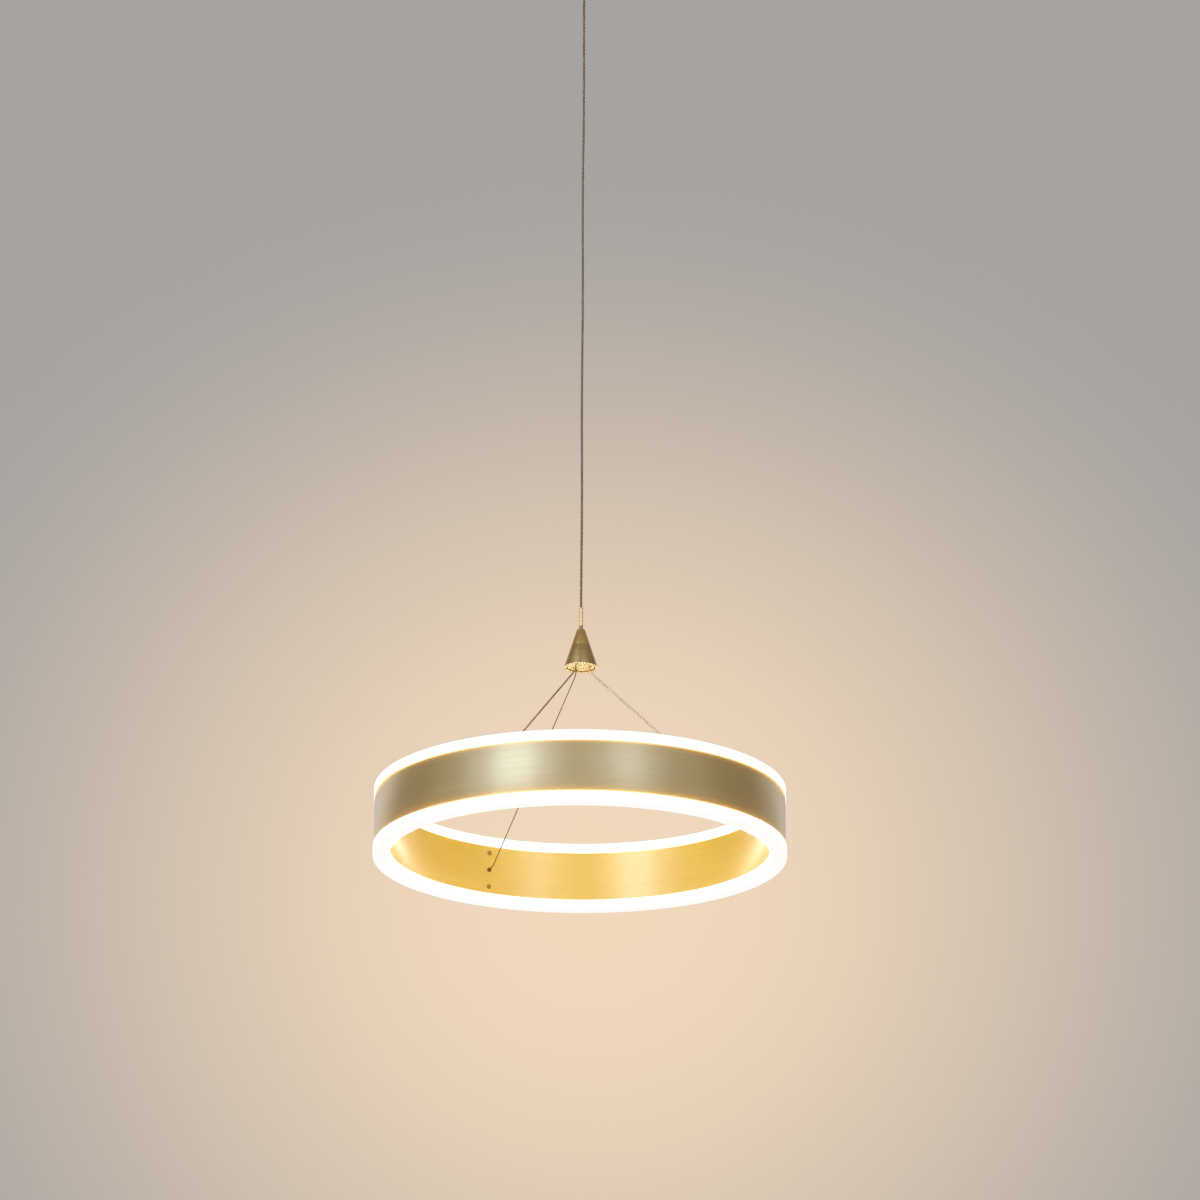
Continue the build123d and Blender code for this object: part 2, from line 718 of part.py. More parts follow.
# Ceiling bracket: a strap with two lugs turned down inside the canopy
lug_x = sqrt(canopy_in**2 - (bracket_width / 2) ** 2) - running_gap
with BuildPart() as ceiling_bracket:
    with BuildSketch(Plane.XZ):
        with BuildLine():
            Polyline(
                (-lug_x, -lug_drop),
                (-lug_x, 0),
                (lug_x, 0),
                (lug_x, -lug_drop),
                (lug_x - bracket_thickness, -lug_drop),
                (lug_x - bracket_thickness, -bracket_thickness),
                (-lug_x + bracket_thickness, -bracket_thickness),
                (-lug_x + bracket_thickness, -lug_drop),
                close=True,
            )
        make_face()
    extrude(amount=bracket_width / 2, both=True)
    bends = ceiling_bracket.edges().filter_by(Axis.Y).filter_by_position(Axis.Z, -bracket_thickness, 0)
    fillet(bends, radius=bracket_bend_radius)
    with BuildSketch(Plane.XY):
        with GridLocations(slot_spacing, 0, 2, 1):
            SlotOverall(slot_length, slot_width)
        with Locations((supply_hole_x, 0)):
            Circle(supply_hole_diameter / 2)
        with Locations((lug_x - earth_screw_inset, 0)):
            Circle(earth_screw_diameter / 2 + fit_gap)
    extrude(amount=-bracket_thickness, mode=Mode.SUBTRACT)
    for angle in (0, 180):
        with BuildSketch(radial_plane(angle, lug_x - bracket_thickness - cut_margin, lug_hole_z)):
            Circle(thumb_screw_diameter / 2 + fit_gap)
    extrude(amount=bracket_thickness + 2 * cut_margin, mode=Mode.SUBTRACT)
save(ceiling_bracket, "ceiling_bracket")

with BuildPart() as canopy_screws:
    for angle in (0, 180):
        with BuildSketch(radial_plane(angle, lug_x - bracket_thickness - thumb_screw_reach, lug_hole_z)):
            Circle(thumb_screw_diameter / 2)
    extrude(amount=canopy_r - lug_x + bracket_thickness + thumb_screw_reach + thumb_head_height)
    for angle in (0, 180):
        with BuildSketch(radial_plane(angle, canopy_r, lug_hole_z)):
            Circle(thumb_head_diameter / 2)
            with PolarLocations(thumb_head_diameter / 2, collar_notches):
                Circle(collar_notch_diameter / 2, mode=Mode.SUBTRACT)
    extrude(amount=thumb_head_height)
save(canopy_screws, "canopy_screws")

with BuildPart() as earth_screw:
    with BuildSketch(Plane.XY.offset(-bracket_thickness)):
        with Locations((lug_x - earth_screw_inset, 0)):
            Circle(earth_head_diameter / 2)
    extrude(amount=-earth_head_height)
    with BuildSketch(Plane.XY.offset(-bracket_thickness)):
        with Locations((lug_x - earth_screw_inset, 0)):
            Circle(earth_screw_diameter / 2)
    extrude(amount=bracket_thickness - fit_gap)
    with BuildSketch(Plane.XY.offset(-bracket_thickness - earth_head_height)):
        with Locations((lug_x - earth_screw_inset, 0)):
            Rectangle(earth_head_diameter, screw_slot_width)
    extrude(amount=screw_slot_depth, mode=Mode.SUBTRACT)
save(earth_screw, "earth_screw")

# LED driver on the canopy's floor: case with posts, board and lid
case_top = canopy_floor + driver_height - driver_lid_thickness
case_floor = canopy_floor + driver_wall
inner_length = driver_length - 2 * driver_wall
inner_width = driver_width - 2 * driver_wall
post_x = inner_length / 2 - driver_post_diameter
post_y = inner_width / 2 - driver_post_diameter
with BuildPart() as driver_case:
    with BuildSketch(Plane.XY.offset(canopy_floor)):
        with Locations((0, driver_y)):
            Rectangle(driver_length, driver_width)
    extrude(amount=case_top - canopy_floor)
    fillet(driver_case.edges().filter_by(Axis.Z), radius=driver_wall)
    with BuildSketch(Plane.XY.offset(case_floor)):
        with Locations((0, driver_y)):
            Rectangle(inner_length, inner_width)
    extrude(amount=case_top - case_floor, mode=Mode.SUBTRACT)
    with BuildSketch(Plane.XY.offset(case_floor)):
        with Locations((0, driver_y)):
            with GridLocations(2 * post_x, 2 * post_y, 2, 2):
                Circle(driver_post_diameter / 2)
    extrude(amount=driver_post_height)
save(driver_case, "driver_case")

with BuildPart() as driver_board:
    with BuildSketch(Plane.XY.offset(case_floor + driver_post_height)):
        with Locations((0, driver_y)):
            Rectangle(inner_length - 2 * board_margin, inner_width - 2 * board_margin)
    extrude(amount=board_thickness)
save(driver_board, "driver_board")

with BuildPart() as driver_lid:
    with BuildSketch(Plane.XY.offset(case_top)):
        with Locations((0, driver_y)):
            RectangleRounded(driver_length, driver_width, driver_wall)
    extrude(amount=driver_lid_thickness)
    with BuildSketch(Plane.XY.offset(case_top)):
        with Locations((0, driver_y)):
            Rectangle(inner_length - 2 * fit_gap, inner_width - 2 * fit_gap)
            Rectangle(inner_length - 2 * driver_wall, inner_width - 2 * driver_wall, mode=Mode.SUBTRACT)
    extrude(amount=-driver_lid_thickness)
    fillet(driver_lid.edges().group_by(Axis.Z)[-1], radius=driver_lid_edge_radius)
save(driver_lid, "driver_lid")

# Terminal block beside it, one screw in each well
terminal_top = canopy_floor + terminal_height
well_floor = terminal_top - terminal_well_depth
with BuildPart() as terminal_block:
    with BuildSketch(Plane.XY.offset(canopy_floor)):
        with Locations((0, terminal_y)):
            Rectangle(terminal_width, terminal_length)
    extrude(amount=terminal_height)
    chamfer(terminal_block.edges().group_by(Axis.Z)[-1], length=terminal_chamfer)
    with BuildSketch(Plane.XY.offset(well_floor)):
        with Locations((0, terminal_y)):
            with GridLocations(terminal_row_pitch, terminal_pole_pitch, 2, terminal_poles):
                Circle(terminal_screw_diameter / 2 + running_gap)
    extrude(amount=terminal_well_depth, mode=Mode.SUBTRACT)
save(terminal_block, "terminal_block")

with BuildPart() as terminal_screws:
    with BuildSketch(Plane.XY.offset(well_floor)):
        with Locations((0, terminal_y)):
            with GridLocations(terminal_row_pitch, terminal_pole_pitch, 2, terminal_poles):
                Circle(terminal_screw_diameter / 2)
    extrude(amount=terminal_screw_height)
    with BuildSketch(Plane.XY.offset(well_floor + terminal_screw_height)):
        with Locations((0, terminal_y)):
            with GridLocations(terminal_row_pitch, terminal_pole_pitch, 2, terminal_poles):
                Rectangle(terminal_screw_diameter, screw_slot_width)
    extrude(amount=-screw_slot_depth, mode=Mode.SUBTRACT)
save(terminal_screws, "terminal_screws")

# Leads inside the canopy: mains lead to the driver, and the cable's tail from the driver to the gripper
lead_z = canopy_floor + driver_height / 2
terminal_entry_y = terminal_y - terminal_pole_pitch
terminal_entry_z = canopy_floor + terminal_height / 3
mains_points = [
    (-terminal_width / 2, terminal_entry_y, terminal_entry_z),
    (-16, terminal_entry_y, terminal_entry_z),
    (-24, terminal_entry_y - 6, terminal_entry_z + 1),
    (-27, terminal_entry_y - 16.5, terminal_entry_z + 3),
    (-25, driver_inner_y + 11, lead_z),
    (-25, driver_inner_y, lead_z),
]
tube("mains_lead", mains_points, easy_radii(mains_points), lead_diameter / 2)

tail_points = [
    (0, 0, ball_z + ball_r + running_gap),
    (0, 0, lead_z + 8),
    (5, 0.5, lead_z + 15),
    (15, 0.5, lead_z + 16.5),
    (22, 0, lead_z + 12),
    (24, driver_inner_y + 13.5, lead_z + 4.5),
    (24, driver_inner_y + 7, lead_z),
    (24, driver_inner_y, lead_z),
]
tube("cable_tail", tail_points, easy_radii(tail_points), cable_r)

for name, value in (
    ("canopy radius", canopy_r),
    ("canopy height", canopy_height),
    ("ball centre", ball_z),
    ("gripper mouth", mouth_z),
    ("cable top", cable_top),
    ("sleeve top", sleeve_top),
    ("cone top", cone_top),
    ("cone base", cone_base),
    ("ring middle", ring_z),
    ("ring underside", ring_z - rim_top),
    ("chamber top", chamber_top),
):
    print(name, round(value, 3))
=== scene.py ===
from math import asin, cos, pi, radians, sin, sqrt

import bmesh
import bpy
from mathutils import Matrix, Vector


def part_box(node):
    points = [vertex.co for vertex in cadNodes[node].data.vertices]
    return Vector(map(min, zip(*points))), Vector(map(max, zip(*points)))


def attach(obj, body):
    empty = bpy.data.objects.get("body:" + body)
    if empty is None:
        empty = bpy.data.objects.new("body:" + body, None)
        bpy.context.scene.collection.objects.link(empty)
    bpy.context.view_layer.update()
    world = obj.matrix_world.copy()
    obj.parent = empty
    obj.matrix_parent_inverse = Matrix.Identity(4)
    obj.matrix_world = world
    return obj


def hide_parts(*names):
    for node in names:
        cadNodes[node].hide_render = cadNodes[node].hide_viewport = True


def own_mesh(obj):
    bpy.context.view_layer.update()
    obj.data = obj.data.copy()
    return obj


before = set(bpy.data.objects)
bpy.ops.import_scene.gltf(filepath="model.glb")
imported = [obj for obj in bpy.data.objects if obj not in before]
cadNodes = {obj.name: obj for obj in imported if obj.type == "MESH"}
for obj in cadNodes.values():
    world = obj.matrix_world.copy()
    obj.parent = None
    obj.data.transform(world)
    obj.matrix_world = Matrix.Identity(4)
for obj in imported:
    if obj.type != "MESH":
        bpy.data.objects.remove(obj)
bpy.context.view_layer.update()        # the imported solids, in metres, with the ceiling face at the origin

scene = bpy.context.scene
scene.view_settings.view_transform = "Standard"
mm = 0.001
fullTurn = 2 * pi
fitGap = 0.1 * mm        # between pieces that fit together
overrun = 1.0 * mm       # how far a cutter stands past what it cuts
near = 0.1 * mm          # how close counts as on a line
weld = 1e-7              # metres; points this close become one
cutWeld = 1e-6           # the same, after a cut


def topOf(node):
    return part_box(node)[1].z


def bottomOf(node):
    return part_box(node)[0].z


ringMiddle = (topOf("outer_band") + bottomOf("outer_band")) / 2
bandEdge = (topOf("outer_band") - bottomOf("outer_band")) / 2  # from the middle to the band's edge
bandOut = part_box("outer_band")[1].x
bandWall = 1.0 * mm
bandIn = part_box("inner_band")[1].x - bandWall
anchorAngles = (0, 120, 240)  # feed wire, thin wire, thick wire

# Camera, below the ring and looking up

cameraPlace = {
    "lens": 108.74,
    "sensor": 36.0,
    "side": 0.0187,      # metres from the ring's middle
    "distance": 3.379,
    "below": 0.9837,
    "tilt": 19.795,      # degrees above the horizon
    "roll": 0.172,
    "farEnd": 60,        # metres, past the backdrop
}
cameraData = bpy.data.cameras.new("lampCamera")
cameraData.lens = cameraPlace["lens"]
cameraData.sensor_width = cameraPlace["sensor"]
cameraData.clip_end = cameraPlace["farEnd"]
camera = bpy.data.objects.new("lampCamera", cameraData)
camera.location = (cameraPlace["side"], -cameraPlace["distance"], ringMiddle - cameraPlace["below"])
lookUp = Matrix.Rotation(radians(90 + cameraPlace["tilt"]), 3, "X")
camera.rotation_euler = (lookUp @ Matrix.Rotation(radians(cameraPlace["roll"]), 3, "Z")).to_euler()
scene.collection.objects.link(camera)
scene.camera = camera
print("camera placed")

# Shading helpers

mixFactor, mixFirst, mixSecond, mixResult = 0, 6, 7, 2  # sockets of a Mix node that mixes colours


def startFinish(name):
    finish = bpy.data.materials.new(name)
    finish.use_nodes = True
    shade = finish.node_tree.nodes["Principled BSDF"]
    return finish, finish.node_tree.nodes, finish.node_tree.links, shade


def noiseOn(nodes, links, scale, detail=2.0, rough=0.6):
    where = nodes.new("ShaderNodeTexCoord")
    stretch = nodes.new("ShaderNodeMapping")
    stretch.inputs["Scale"].default_value = scale  # cells per metre along each axis
    noise = nodes.new("ShaderNodeTexNoise")
    noise.inputs["Scale"].default_value = 1.0
    noise.inputs["Detail"].default_value = detail
    noise.inputs["Roughness"].default_value = rough
    links.new(where.outputs["Object"], stretch.inputs["Vector"])
    links.new(stretch.outputs["Vector"], noise.inputs["Vector"])
    return noise.outputs["Fac"]


def spread(nodes, links, value, low, high, start=0.3, end=0.7):
    ramp = nodes.new("ShaderNodeMapRange")
    ramp.inputs["From Min"].default_value = start
    ramp.inputs["From Max"].default_value = end
    ramp.inputs["To Min"].default_value = low
    ramp.inputs["To Max"].default_value = high
    links.new(value, ramp.inputs["Value"])
    return ramp.outputs["Result"]


def twoTone(nodes, links, value, first, second):
    # each tone is a colour or the output of another node
    mix = nodes.new("ShaderNodeMix")
    mix.data_type = "RGBA"
    links.new(value, mix.inputs[mixFactor])
    for socket, tone in ((mixFirst, first), (mixSecond, second)):
        if isinstance(tone, bpy.types.NodeSocket):
            links.new(tone, mix.inputs[socket])
        else:
            mix.inputs[socket].default_value = (*tone, 1)
    return mix.outputs[mixResult]


def clouded(nodes, links, shade, look, stain, gloss):
    # one pattern mixes the two tones, another varies the roughness
    tone = twoTone(nodes, links, spread(nodes, links, stain, 0, 1), look["pale"], look["deep"])
    links.new(tone, shade.inputs["Base Color"])
    links.new(spread(nodes, links, gloss, *look["roughness"]), shade.inputs["Roughness"])


def bumpFrom(nodes, links, value, shade, depth):
    bump = nodes.new("ShaderNodeBump")
    bump.inputs["Distance"].default_value = depth
    bump.inputs["Strength"].default_value = 1.0
    links.new(value, bump.inputs["Height"])
    links.new(bump.outputs["Normal"], shade.inputs["Normal"])


# Brushed brass on the bands

brushedLook = {
    "pale": (0.83, 0.63, 0.27),
    "deep": (0.78, 0.575, 0.23),
    "metal": 0.75,
    "roughness": (0.36, 0.42),
    "anisotropy": 0.80,
    "glossTurn": 0.25,       # gloss spreads across the brush lines
    "lines": (9, 9, 1700),   # brush lines run round the ring
    "lineDetail": 4.0,
    "lineRough": 0.7,
    "clouds": (10, 10, 700),
    "depth": 0.004 * mm,
    "lacquer": {"Coat Weight": 1.0, "Coat Roughness": 0.28, "Coat IOR": 1.6},
}
satinLook = dict(brushedLook, pale=(0.90, 0.59, 0.06), deep=(0.85, 0.54, 0.045), metal=0.25,
                 lacquer={"Coat Weight": 1.0, "Coat Roughness": 0.25, "Coat IOR": 1.8})


def brushedBand(name, look):
    finish, nodes, links, shade = startFinish(name)
    lines = noiseOn(nodes, links, look["lines"], look["lineDetail"], look["lineRough"])
    clouded(nodes, links, shade, look, noiseOn(nodes, links, look["clouds"]), lines)
    shade.inputs["Metallic"].default_value = look["metal"]
    shade.inputs["Anisotropic"].default_value = look["anisotropy"]
    shade.inputs["Anisotropic Rotation"].default_value = look["glossTurn"]
    for socket, value in look["lacquer"].items():
        shade.inputs[socket].default_value = value
    around = nodes.new("ShaderNodeTangent")
    around.direction_type = "RADIAL"
    around.axis = "Z"
    links.new(around.outputs["Tangent"], shade.inputs["Tangent"])
    bumpFrom(nodes, links, lines, shade, look["depth"])
    return finish


# Turned metals, with marks round the axis

turnedLook = {
    "pale": (0.60, 0.41, 0.155),
    "deep": (0.50, 0.32, 0.105),
    "metal": 1.0,
    "roughness": (0.32, 0.42),
    "rings": 1100,           # turning marks per metre
    "ringDetail": 3.0,
    "stains": (90, 90, 160),
    "stainDetail": 3.0,
    "depth": 0.002 * mm,
}
# painted light: a paler, brighter copy of the brass for the faces that the lamp ring lights
litBrassLook = dict(turnedLook, pale=(0.86, 0.685, 0.385), deep=(0.82, 0.63, 0.315),
                     roughness=(0.45, 0.55), metal=0.5)
capLook = dict(turnedLook, pale=(0.71, 0.475, 0.163), deep=(0.60, 0.375, 0.112))
# partly painted light: the sleeve is brass, made paler still for the ring's light on it from below
litSleeveLook = dict(litBrassLook, pale=(0.95, 0.70, 0.36), deep=(0.92, 0.65, 0.31), metal=0.6)
canopyLook = dict(turnedLook, pale=(0.76, 0.62, 0.37), deep=(0.71, 0.565, 0.32),
                  roughness=(0.28, 0.38), rings=1500)
agedLook = dict(turnedLook, pale=(0.62, 0.37, 0.16), deep=(0.52, 0.30, 0.12),
                roughness=(0.40, 0.50), metal=0.5)
bronzeLook = dict(turnedLook, pale=(0.27, 0.16, 0.07), deep=(0.17, 0.10, 0.045), roughness=(0.32, 0.44))
screwBronzeLook = dict(bronzeLook, pale=(0.62, 0.34, 0.065), deep=(0.52, 0.275, 0.045))
bushBronzeLook = dict(bronzeLook, pale=(0.40, 0.18, 0.02), deep=(0.30, 0.13, 0.012))
steelLook = dict(turnedLook, pale=(0.66, 0.65, 0.63), deep=(0.52, 0.51, 0.49), roughness=(0.22, 0.36))
aluminiumLook = dict(turnedLook, pale=(0.82, 0.82, 0.82), deep=(0.72, 0.72, 0.73), roughness=(0.30, 0.42))


def turnedMetal(name, look):
    finish, nodes, links, shade = startFinish(name)
    where = nodes.new("ShaderNodeTexCoord")
    apart = nodes.new("ShaderNodeSeparateXYZ")
    flat = nodes.new("ShaderNodeCombineXYZ")
    radius = nodes.new("ShaderNodeVectorMath")
    radius.operation = "LENGTH"
    along = nodes.new("ShaderNodeMath")
    along.operation = "ADD"
    marks = nodes.new("ShaderNodeTexNoise")
    marks.noise_dimensions = "1D"
    marks.inputs["Scale"].default_value = look["rings"]
    marks.inputs["Detail"].default_value = look["ringDetail"]
    links.new(where.outputs["Object"], apart.inputs["Vector"])
    links.new(apart.outputs["X"], flat.inputs["X"])
    links.new(apart.outputs["Y"], flat.inputs["Y"])
    links.new(flat.outputs["Vector"], radius.inputs[0])
    links.new(radius.outputs["Value"], along.inputs[0])  # rings on a flat, and along a shaft or a cone
    links.new(apart.outputs["Z"], along.inputs[1])
    links.new(along.outputs["Value"], marks.inputs["W"])
    stain = noiseOn(nodes, links, look["stains"], look["stainDetail"])
    clouded(nodes, links, shade, look, stain, marks.outputs["Fac"])
    shade.inputs["Metallic"].default_value = look["metal"]
    bumpFrom(nodes, links, marks.outputs["Fac"], shade, look["depth"])
    return finish


# Lit opal acrylic

glowLook = {
    "base": (0.62, 0.60, 0.565),
    "clouds": (40, 40, 40),
    "cloudTone": 0.96,
    "roughness": 0.32,
    "lamp": (1.0, 0.88, 0.70),   # the light that it throws
    "strength": 11.8,
    "gleam": 4.2,                # as a reflection shows it
    "gleamTint": (1.0, 0.98, 0.95),
    "lip": (1.0, 0.60, 0.18),    # under the outer lip, where the opal is thick
    "lipStrength": 2.0,
    "lowLipStrength": 10.0,
    "innerLipStrength": 0.8,
    "skin": (1.0, 0.985, 0.97),  # its own face, which is white to the eye
    "skinStrength": 0.74,
}


def glowingOpal(name, look):
    finish, nodes, links, shade = startFinish(name)
    deep = [look["cloudTone"] * channel for channel in look["base"]]
    cloud = noiseOn(nodes, links, look["clouds"])
    links.new(twoTone(nodes, links, cloud, look["base"], deep), shade.inputs["Base Color"])
    shade.inputs["Roughness"].default_value = look["roughness"]
    path = nodes.new("ShaderNodeLightPath")
    seen, mirrored = path.outputs["Is Camera Ray"], path.outputs["Is Glossy Ray"]
    thrown = twoTone(nodes, links, mirrored, look["lamp"], look["gleamTint"])
    links.new(twoTone(nodes, links, seen, thrown, look["skin"]), shade.inputs["Emission Color"])
    total = nodes.new("ShaderNodeMath")  # three levels: thrown light, a reflection, and its own face
    links.new(spread(nodes, links, mirrored, look["strength"], look["gleam"], 0, 1), total.inputs[0])
    links.new(spread(nodes, links, seen, 0, look["skinStrength"] - look["strength"], 0, 1), total.inputs[1])
    links.new(total.outputs["Value"], shade.inputs["Emission Strength"])
    return finish


def opalEdge(name, tint, strength):
    return glowingOpal(name, dict(glowLook, lamp=tint, gleamTint=tint, strength=strength, gleam=strength))


# Plastics, boards and leads

plasticLook = {
    "pale": (0.86, 0.86, 0.84),
    "deep": (0.80, 0.80, 0.78),
    "roughness": (0.38, 0.52),
    "clouds": (60, 60, 60),
    "grain": 1400,           # cells per metre
    "depth": 0.01 * mm,
}
opalPlainLook = dict(plasticLook, pale=(0.92, 0.90, 0.86), deep=(0.90, 0.88, 0.84), roughness=(0.28, 0.34))
nylonLook = dict(plasticLook, pale=(0.84, 0.82, 0.76), deep=(0.80, 0.78, 0.72), roughness=(0.42, 0.55))
boardLook = dict(plasticLook, pale=(0.03, 0.16, 0.07), deep=(0.02, 0.12, 0.05), roughness=(0.30, 0.42))
stripLook = dict(plasticLook, pale=(0.90, 0.90, 0.88), deep=(0.84, 0.84, 0.82), roughness=(0.35, 0.45))
phosphorLook = dict(plasticLook, pale=(0.90, 0.66, 0.16), deep=(0.84, 0.58, 0.12), roughness=(0.40, 0.50))
leadLook = dict(plasticLook, pale=(0.42, 0.42, 0.42), deep=(0.36, 0.36, 0.36), roughness=(0.44, 0.56),
                grain=900)


def mouldedPlastic(name, look):
    finish, nodes, links, shade = startFinish(name)
    grain = noiseOn(nodes, links, [look["grain"]] * 3)
    clouded(nodes, links, shade, look, noiseOn(nodes, links, look["clouds"]), grain)
    bumpFrom(nodes, links, grain, shade, look["depth"])
    return finish


# Clear sheaths and the wires in them

sheathLook = {
    "pale": (0.98, 0.95, 0.90),
    "deep": (0.95, 0.91, 0.84),
    "roughness": (0.10, 0.16),
    "clouds": (300, 300, 40),
    "bend": 1.33,            # how strongly it bends light
    "depth": 0.002 * mm,
}
twinSheathLook = dict(sheathLook, pale=(0.99, 0.96, 0.88), deep=(0.98, 0.94, 0.84), bend=1.08,
                      depth=0.0005 * mm)
wireLook = dict(plasticLook, pale=(0.66, 0.46, 0.24), deep=(0.52, 0.36, 0.17), roughness=(0.50, 0.62),
                grain=2500, depth=0.004 * mm)
# painted shade: the thin rope is a darker copy of the wire finish, so that it shows dark against the lit
# inner band
shadedFineWireLook = dict(wireLook, pale=(0.34, 0.20, 0.075), deep=(0.25, 0.14, 0.045))
coreWireLook = dict(wireLook, pale=(0.60, 0.43, 0.27), deep=(0.45, 0.31, 0.18))
feedCoreLook = dict(wireLook, pale=(0.96, 0.74, 0.43), deep=(0.91, 0.67, 0.36))


def clearSheath(name, look):
    finish, nodes, links, shade = startFinish(name)
    cloud = noiseOn(nodes, links, look["clouds"])
    clouded(nodes, links, shade, look, cloud, cloud)
    shade.inputs["Transmission Weight"].default_value = 1.0
    shade.inputs["IOR"].default_value = look["bend"]
    bumpFrom(nodes, links, cloud, shade, look["depth"])
    return finish


def drawnWire(name, look):
    finish = mouldedPlastic(name, look)
    finish.node_tree.nodes["Principled BSDF"].inputs["Metallic"].default_value = 1.0
    return finish


# One finish for each material slot, then those of single pieces

finishes = {
    "brushed_brass_band": brushedBand("brushedBrassBand", brushedLook),
    "turned_brass": turnedMetal("turnedBrass", turnedLook),
    "canopy_brass": turnedMetal("canopyBrass", canopyLook),
    "dark_bronze": turnedMetal("darkBronze", bronzeLook),
    "opal_acrylic": glowingOpal("opalAcrylic", glowLook),
    "bare_aluminium": turnedMetal("bareAluminium", aluminiumLook),
    "clear_sheath": clearSheath("clearSheath", sheathLook),
    "steel_wire": drawnWire("steelWire", wireLook),
    "zinc_steel": turnedMetal("zincSteel", steelLook),
    "white_nylon": mouldedPlastic("whiteNylon", nylonLook),
    "white_plastic": mouldedPlastic("whitePlastic", plasticLook),
    "circuit_board": mouldedPlastic("circuitBoard", boardLook),
    "white_strip": mouldedPlastic("whiteStrip", stripLook),
    "led_phosphor": mouldedPlastic("ledPhosphor", phosphorLook),
    "grey_lead": mouldedPlastic("greyLead", leadLook),
}
satinBand = brushedBand("satinBrassBand", satinLook)
litBrass = turnedMetal("litBrass", litBrassLook)
capBrass = turnedMetal("capBrass", capLook)
litSleeveBrass = turnedMetal("litSleeveBrass", litSleeveLook)
agedBronze = turnedMetal("agedBronze", agedLook)
screwBronze = turnedMetal("screwBronze", screwBronzeLook)
bushBronze = turnedMetal("bushBronze", bushBronzeLook)
opalInside = mouldedPlastic("opalInside", opalPlainLook)
opalLip = opalEdge("opalLip", glowLook["lip"], glowLook["lipStrength"])
opalLowLip = opalEdge("opalLowLip", glowLook["lip"], glowLook["lowLipStrength"])
opalInnerLip = opalEdge("opalInnerLip", glowLook["lamp"], glowLook["innerLipStrength"])
twinSheath = clearSheath("twinSheath", twinSheathLook)
shadedFineWire = drawnWire("shadedFineWire", shadedFineWireLook)
coreWire = drawnWire("coreWire", coreWireLook)
feedCore = mouldedPlastic("feedCore", feedCoreLook)
print("finishes made", len(finishes))

# Modelling helpers

roundedFrom = radians(50)  # gentler edges keep their corner


def asMesh(bm, name):
    mesh = bpy.data.meshes.new(name)
    bm.to_mesh(mesh)
    bm.free()
    return mesh


def addPiece(name, bm, body, slot, stoodFor=(), extra=(), sharp=32, finish=None):
    mesh = asMesh(bm, name)
    mesh.materials.append(finish or finishes[slot])
    for other in extra:
        mesh.materials.append(other)
    mesh.shade_smooth()
    mesh.set_sharp_from_angle(angle=radians(sharp))
    piece = bpy.data.objects.new(name, mesh)
    scene.collection.objects.link(piece)
    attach(piece, body)
    if stoodFor:
        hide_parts(*stoodFor)
    return piece


def spun(profile, steps, closed=True):
    bm = bmesh.new()
    corners = [bm.verts.new((radius, 0, height)) for radius, height in profile]
    pairs = list(zip(corners, corners[1:]))
    if closed:
        pairs.append((corners[-1], corners[0]))
    edges = [bm.edges.new(pair) for pair in pairs]
    bmesh.ops.spin(bm, geom=corners + edges, cent=(0, 0, 0), axis=(0, 0, 1), angle=fullTurn, steps=steps,
                   use_merge=True)
    bmesh.ops.remove_doubles(bm, verts=bm.verts, dist=weld)
    bmesh.ops.recalc_face_normals(bm, faces=bm.faces)
    return bm


def roundEdges(bm, width, segments=3, wanted=None):
    edges = [edge for edge in bm.edges if len(edge.link_faces) == 2
             and edge.calc_face_angle(0) > roundedFrom and (wanted is None or wanted(edge))]
    bmesh.ops.bevel(bm, geom=edges, offset=width, offset_type="OFFSET", affect="EDGES", segments=segments,
                    profile=0.5, material=-1, clamp_overlap=True)
    return bm


def circleAt(radius, height):
    # picks the edges of one circle round the axis
    def onCircle(edge):
        return all(abs(Vector(vertex.co.xy).length - radius) < near and abs(vertex.co.z - height) < near
                   for vertex in edge.verts)
    return onCircle


def cutAway(bm, cutter):
    block = bpy.data.objects.new("block", asMesh(bm, "block"))
    tool = bpy.data.objects.new("tool", asMesh(cutter, "tool"))
    scene.collection.objects.link(block)
    scene.collection.objects.link(tool)
    cut = block.modifiers.new("cut", "BOOLEAN")
    cut.operation = "DIFFERENCE"
    cut.solver = "EXACT"
    cut.object = tool
    shaped = bpy.data.meshes.new_from_object(block.evaluated_get(bpy.context.evaluated_depsgraph_get()))
    result = bmesh.new()
    result.from_mesh(shaped)
    bmesh.ops.remove_doubles(result, verts=result.verts, dist=cutWeld)
    bmesh.ops.dissolve_degenerate(result, edges=result.edges, dist=cutWeld)
    for old in (block, tool):
        data = old.data
        bpy.data.objects.remove(old)
        bpy.data.meshes.remove(data)
    bpy.data.meshes.remove(shaped)
    return result


def gather(meshes):
    bm = bmesh.new()
    for mesh, finishIndex in meshes:
        start = len(bm.faces)
        bm.from_mesh(mesh)
        bm.faces.ensure_lookup_table()
        for face in bm.faces[start:]:
            face.material_index = finishIndex
        bpy.data.meshes.remove(mesh)
    return bm


def facingIn(angle, radius, height):
    # local Z points at the ring's axis, local X points up
    inwards = Vector((-cos(radians(angle)), -sin(radians(angle)), 0))
    up = Vector((0, 0, 1))
    turned = Matrix((up, inwards.cross(up), inwards)).transposed().to_4x4()
    return Matrix.Translation(-inwards * radius + up * height) @ turned


def rod(radius, low, high, sides=32):
    bm = bmesh.new()
    bmesh.ops.create_cone(bm, cap_ends=True, cap_tris=False, segments=sides, radius1=radius, radius2=radius,
                          depth=high - low, matrix=Matrix.Translation((0, 0, (low + high) / 2)))
    return bm


